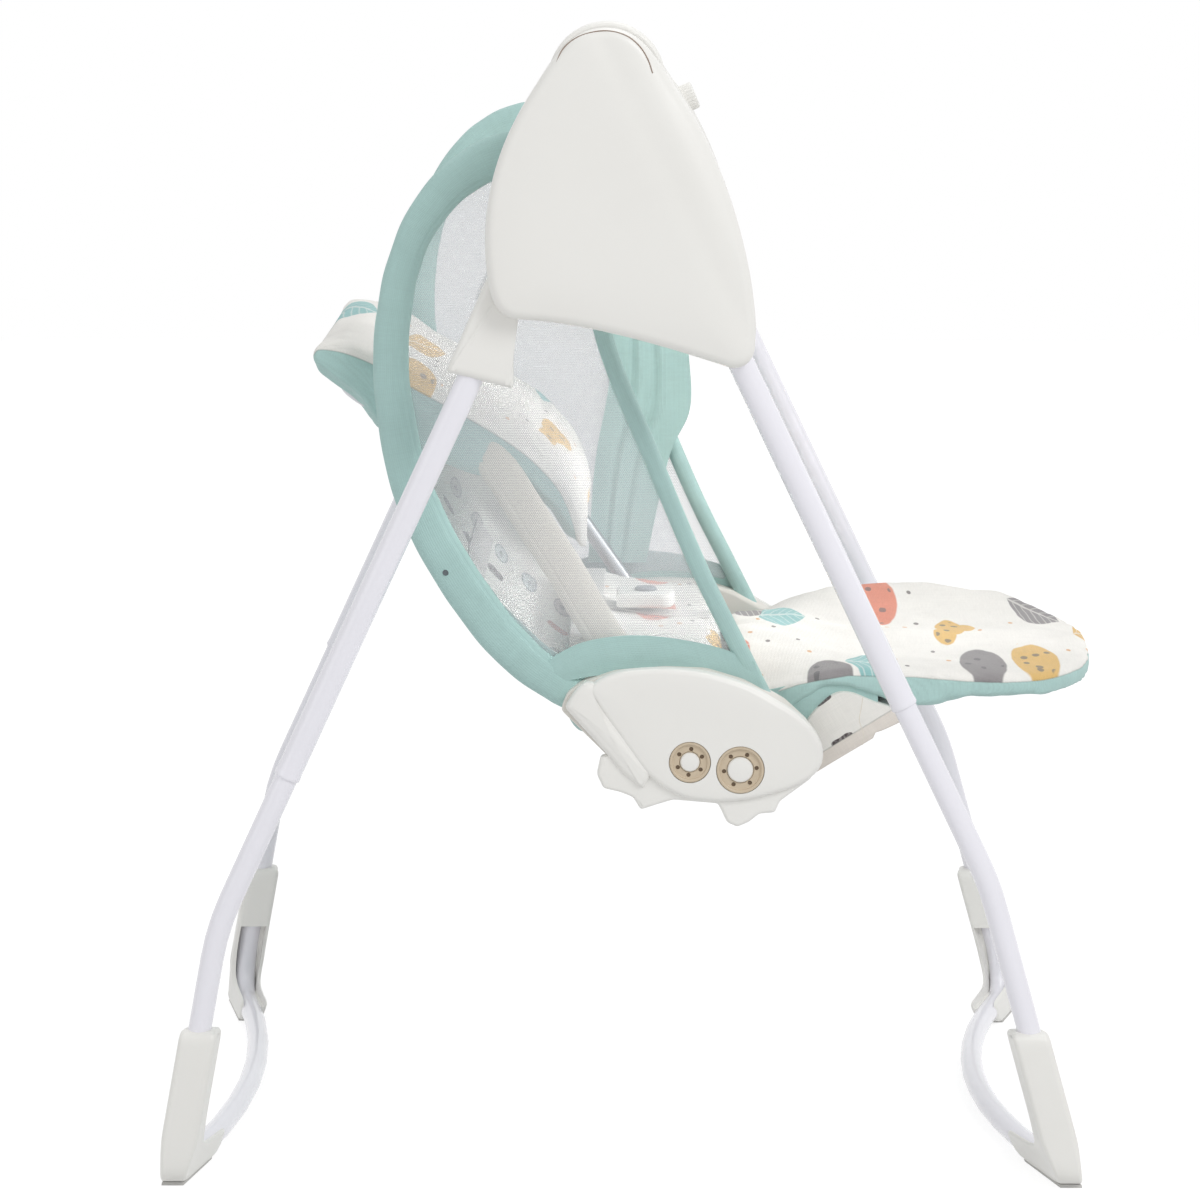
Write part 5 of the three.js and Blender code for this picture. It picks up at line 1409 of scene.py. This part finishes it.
TALL_MOTIFS = (1, 1 / 3.6, 1)
STROKE_CLOTH = cloth("stroke print cloth", PRINT_GROUND, pattern=STROKES, turn=(0, math.radians(-55), 0),
                     shift=(0, 0.063, 0), stretch=(1, 1 / 7, 1), beyond=MINT_TONE)
BACK_PRINT = cloth("back cushion print", PRINT_GROUND, pattern=PRINT, turn=(0, math.radians(-27), 0),
                   shift=(0.02, 0.03, 0), stretch=TALL_MOTIFS, marks=0.45, beyond=MINT_TONE)
SEAT_PRINT = cloth("seat cushion print", PRINT_GROUND, pattern=PRINT, shift=(0.2, 0.1, 0),
                   stretch=TALL_MOTIFS, beyond=MINT_TONE)
REST_PRINT = cloth("leg rest print", PRINT_GROUND, pattern=PRINT, shift=(0.011, 0, 0),
                   stretch=TALL_MOTIFS, beyond=MINT_TONE)
APRON_PRINT = cloth("apron print", PRINT_GROUND, pattern=STROKES,
                    turn=(math.radians(-90), 0, math.radians(-30)), shift=(0.0166, 0.002, 0),
                    marks=0.0, beyond=colour(234, 227, 219))
CREAM_CLOTH = cloth("cream cloth", colour(236, 230, 218))
GREY_CLOTH = cloth("grey cloth", colour(214, 210, 208))
WEBBING = cloth("pale webbing", colour(226, 224, 220), thread=0.0016, bump=0.8)

for each_side in SIDES:
    sleeve("side_band", each_side, 6, 588, 260, 1.0 if each_side == "right" else 2.4)
    sleeve("front_band", each_side, 676, 1056, 150, 3.0 if each_side == "right" else 4.4)
    side_loop(each_side)
    eyelet(each_side)
    under_edge(each_side)
    side_net(each_side)
    rest_gusset(each_side)
recline_sleeve("right")
bucket()
under_fold()
back_cushion()
seat_cushion()
leg_rest()
apron()
arm_sleeve()
harness()


# ---------------------------------------------------------------- CAD pieces that keep their shape
KEPT = {
    CREAM: ("fold_button_right", "fold_button_left", "buckle"),
    CREAM_INNER: ("pivot_bush_right", "pivot_bush_left", "battery_pack", "drive_gearbox", "seat_pan"),
    STEEL: ("swing_axle_right", "swing_axle_left", "swing_crank", "drive_motor", "rear_cross_tube",
            "front_cross_tube", "leg_rest_frame"),
    RUBBER: ("front_foot_pad_right", "front_foot_pad_left", "rear_foot_pad_right", "rear_foot_pad_left"),
    GREY_BUTTON: ("buckle_button",),
    BOARD_GREEN: ("control_board",),
}
for finish, names in KEPT.items():
    for node_name in names:
        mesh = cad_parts[node_name].data
        mesh.materials.clear()
        mesh.materials.append(finish)


# ---------------------------------------------------------------- floor, light and camera
def seen_directly(tree):
    """1 for what the eye meets, straight, in a mirror or through glass, and 0 for light that falls on
    things."""
    path = add_node(tree, "LightPath").outputs
    seen = worked(tree, "MAXIMUM", path["Is Camera Ray"], path["Is Glossy Ray"])
    return worked(tree, "MAXIMUM", seen, path["Is Transmission Ray"])


def studio():
    """A plain white floor and surround, soft lamps, and the camera."""
    world = bpy.data.worlds.new("studio")
    bpy.context.scene.world = world
    world.use_nodes = True
    tree = world.node_tree
    strength = ramp(tree, seen_directly(tree), 0.0, 1.0, 0.6, 1.0)
    background = tree.nodes["Background"]
    background.inputs[0].default_value = (1, 1, 1, 1)
    tree.links.new(strength, background.inputs[1])

    floor = make("floor", [(-6000, -6000, 0), (6000, -6000, 0), (6000, 6000, 0), (-6000, 6000, 0)],
                 [(0, 1, 2, 3)], sharp=None)
    material, tree, principled = new_material("white floor", Roughness=0.9, Specular_IOR_Level=0.1)
    seen = seen_directly(tree)
    tone = mix_colour(tree, seen, (0.8, 0.8, 0.8, 1), (0.26, 0.26, 0.26, 1))
    tree.links.new(tone, principled.inputs["Base Color"])
    principled.inputs["Emission Color"].default_value = (1, 1, 1, 1)
    glow = worked(tree, "MULTIPLY", seen, 0.84)
    tree.links.new(glow, principled.inputs["Emission Strength"])
    floor.data.materials.append(material)

    def lamp(name, place, target, size, power, spread=180):
        light = bpy.data.lights.new(name, "AREA")
        light.shape, light.size, light.energy, light.spread = "DISK", size, power, math.radians(spread)
        holder = bpy.data.objects.new(name, light)
        bpy.context.scene.collection.objects.link(holder)
        holder.location = place
        holder.visible_camera = False
        holder.rotation_euler = (Vector(target) - Vector(place)).to_track_quat("-Z", "Y").to_euler()

    lamp("key", (1.7, -2.3, 2.6), (0, 0, 0.45), 1.6, 38)
    lamp("fill", (-2.4, -1.8, 1.5), (0, 0, 0.45), 2.2, 9)
    lamp("seat", (0.56, 0, 0.62), (-0.13, 0, 0.47), 0.3, 0.3, 50)
    lamp("top", (0.3, 0.9, 3.0), (0, 0, 0.45), 2.0, 16)

    camera = bpy.data.cameras.new("camera")
    camera.lens, camera.sensor_width = 133.5, 36
    holder = bpy.data.objects.new("camera", camera)
    bpy.context.scene.collection.objects.link(holder)
    holder.location = (0, -3.620, 1.008)
    holder.rotation_euler = Euler((math.radians(90 - 9.316), 0, math.radians(0.534)))
    bpy.context.scene.camera = holder
    bpy.context.scene.view_settings.view_transform = "Standard"


studio()
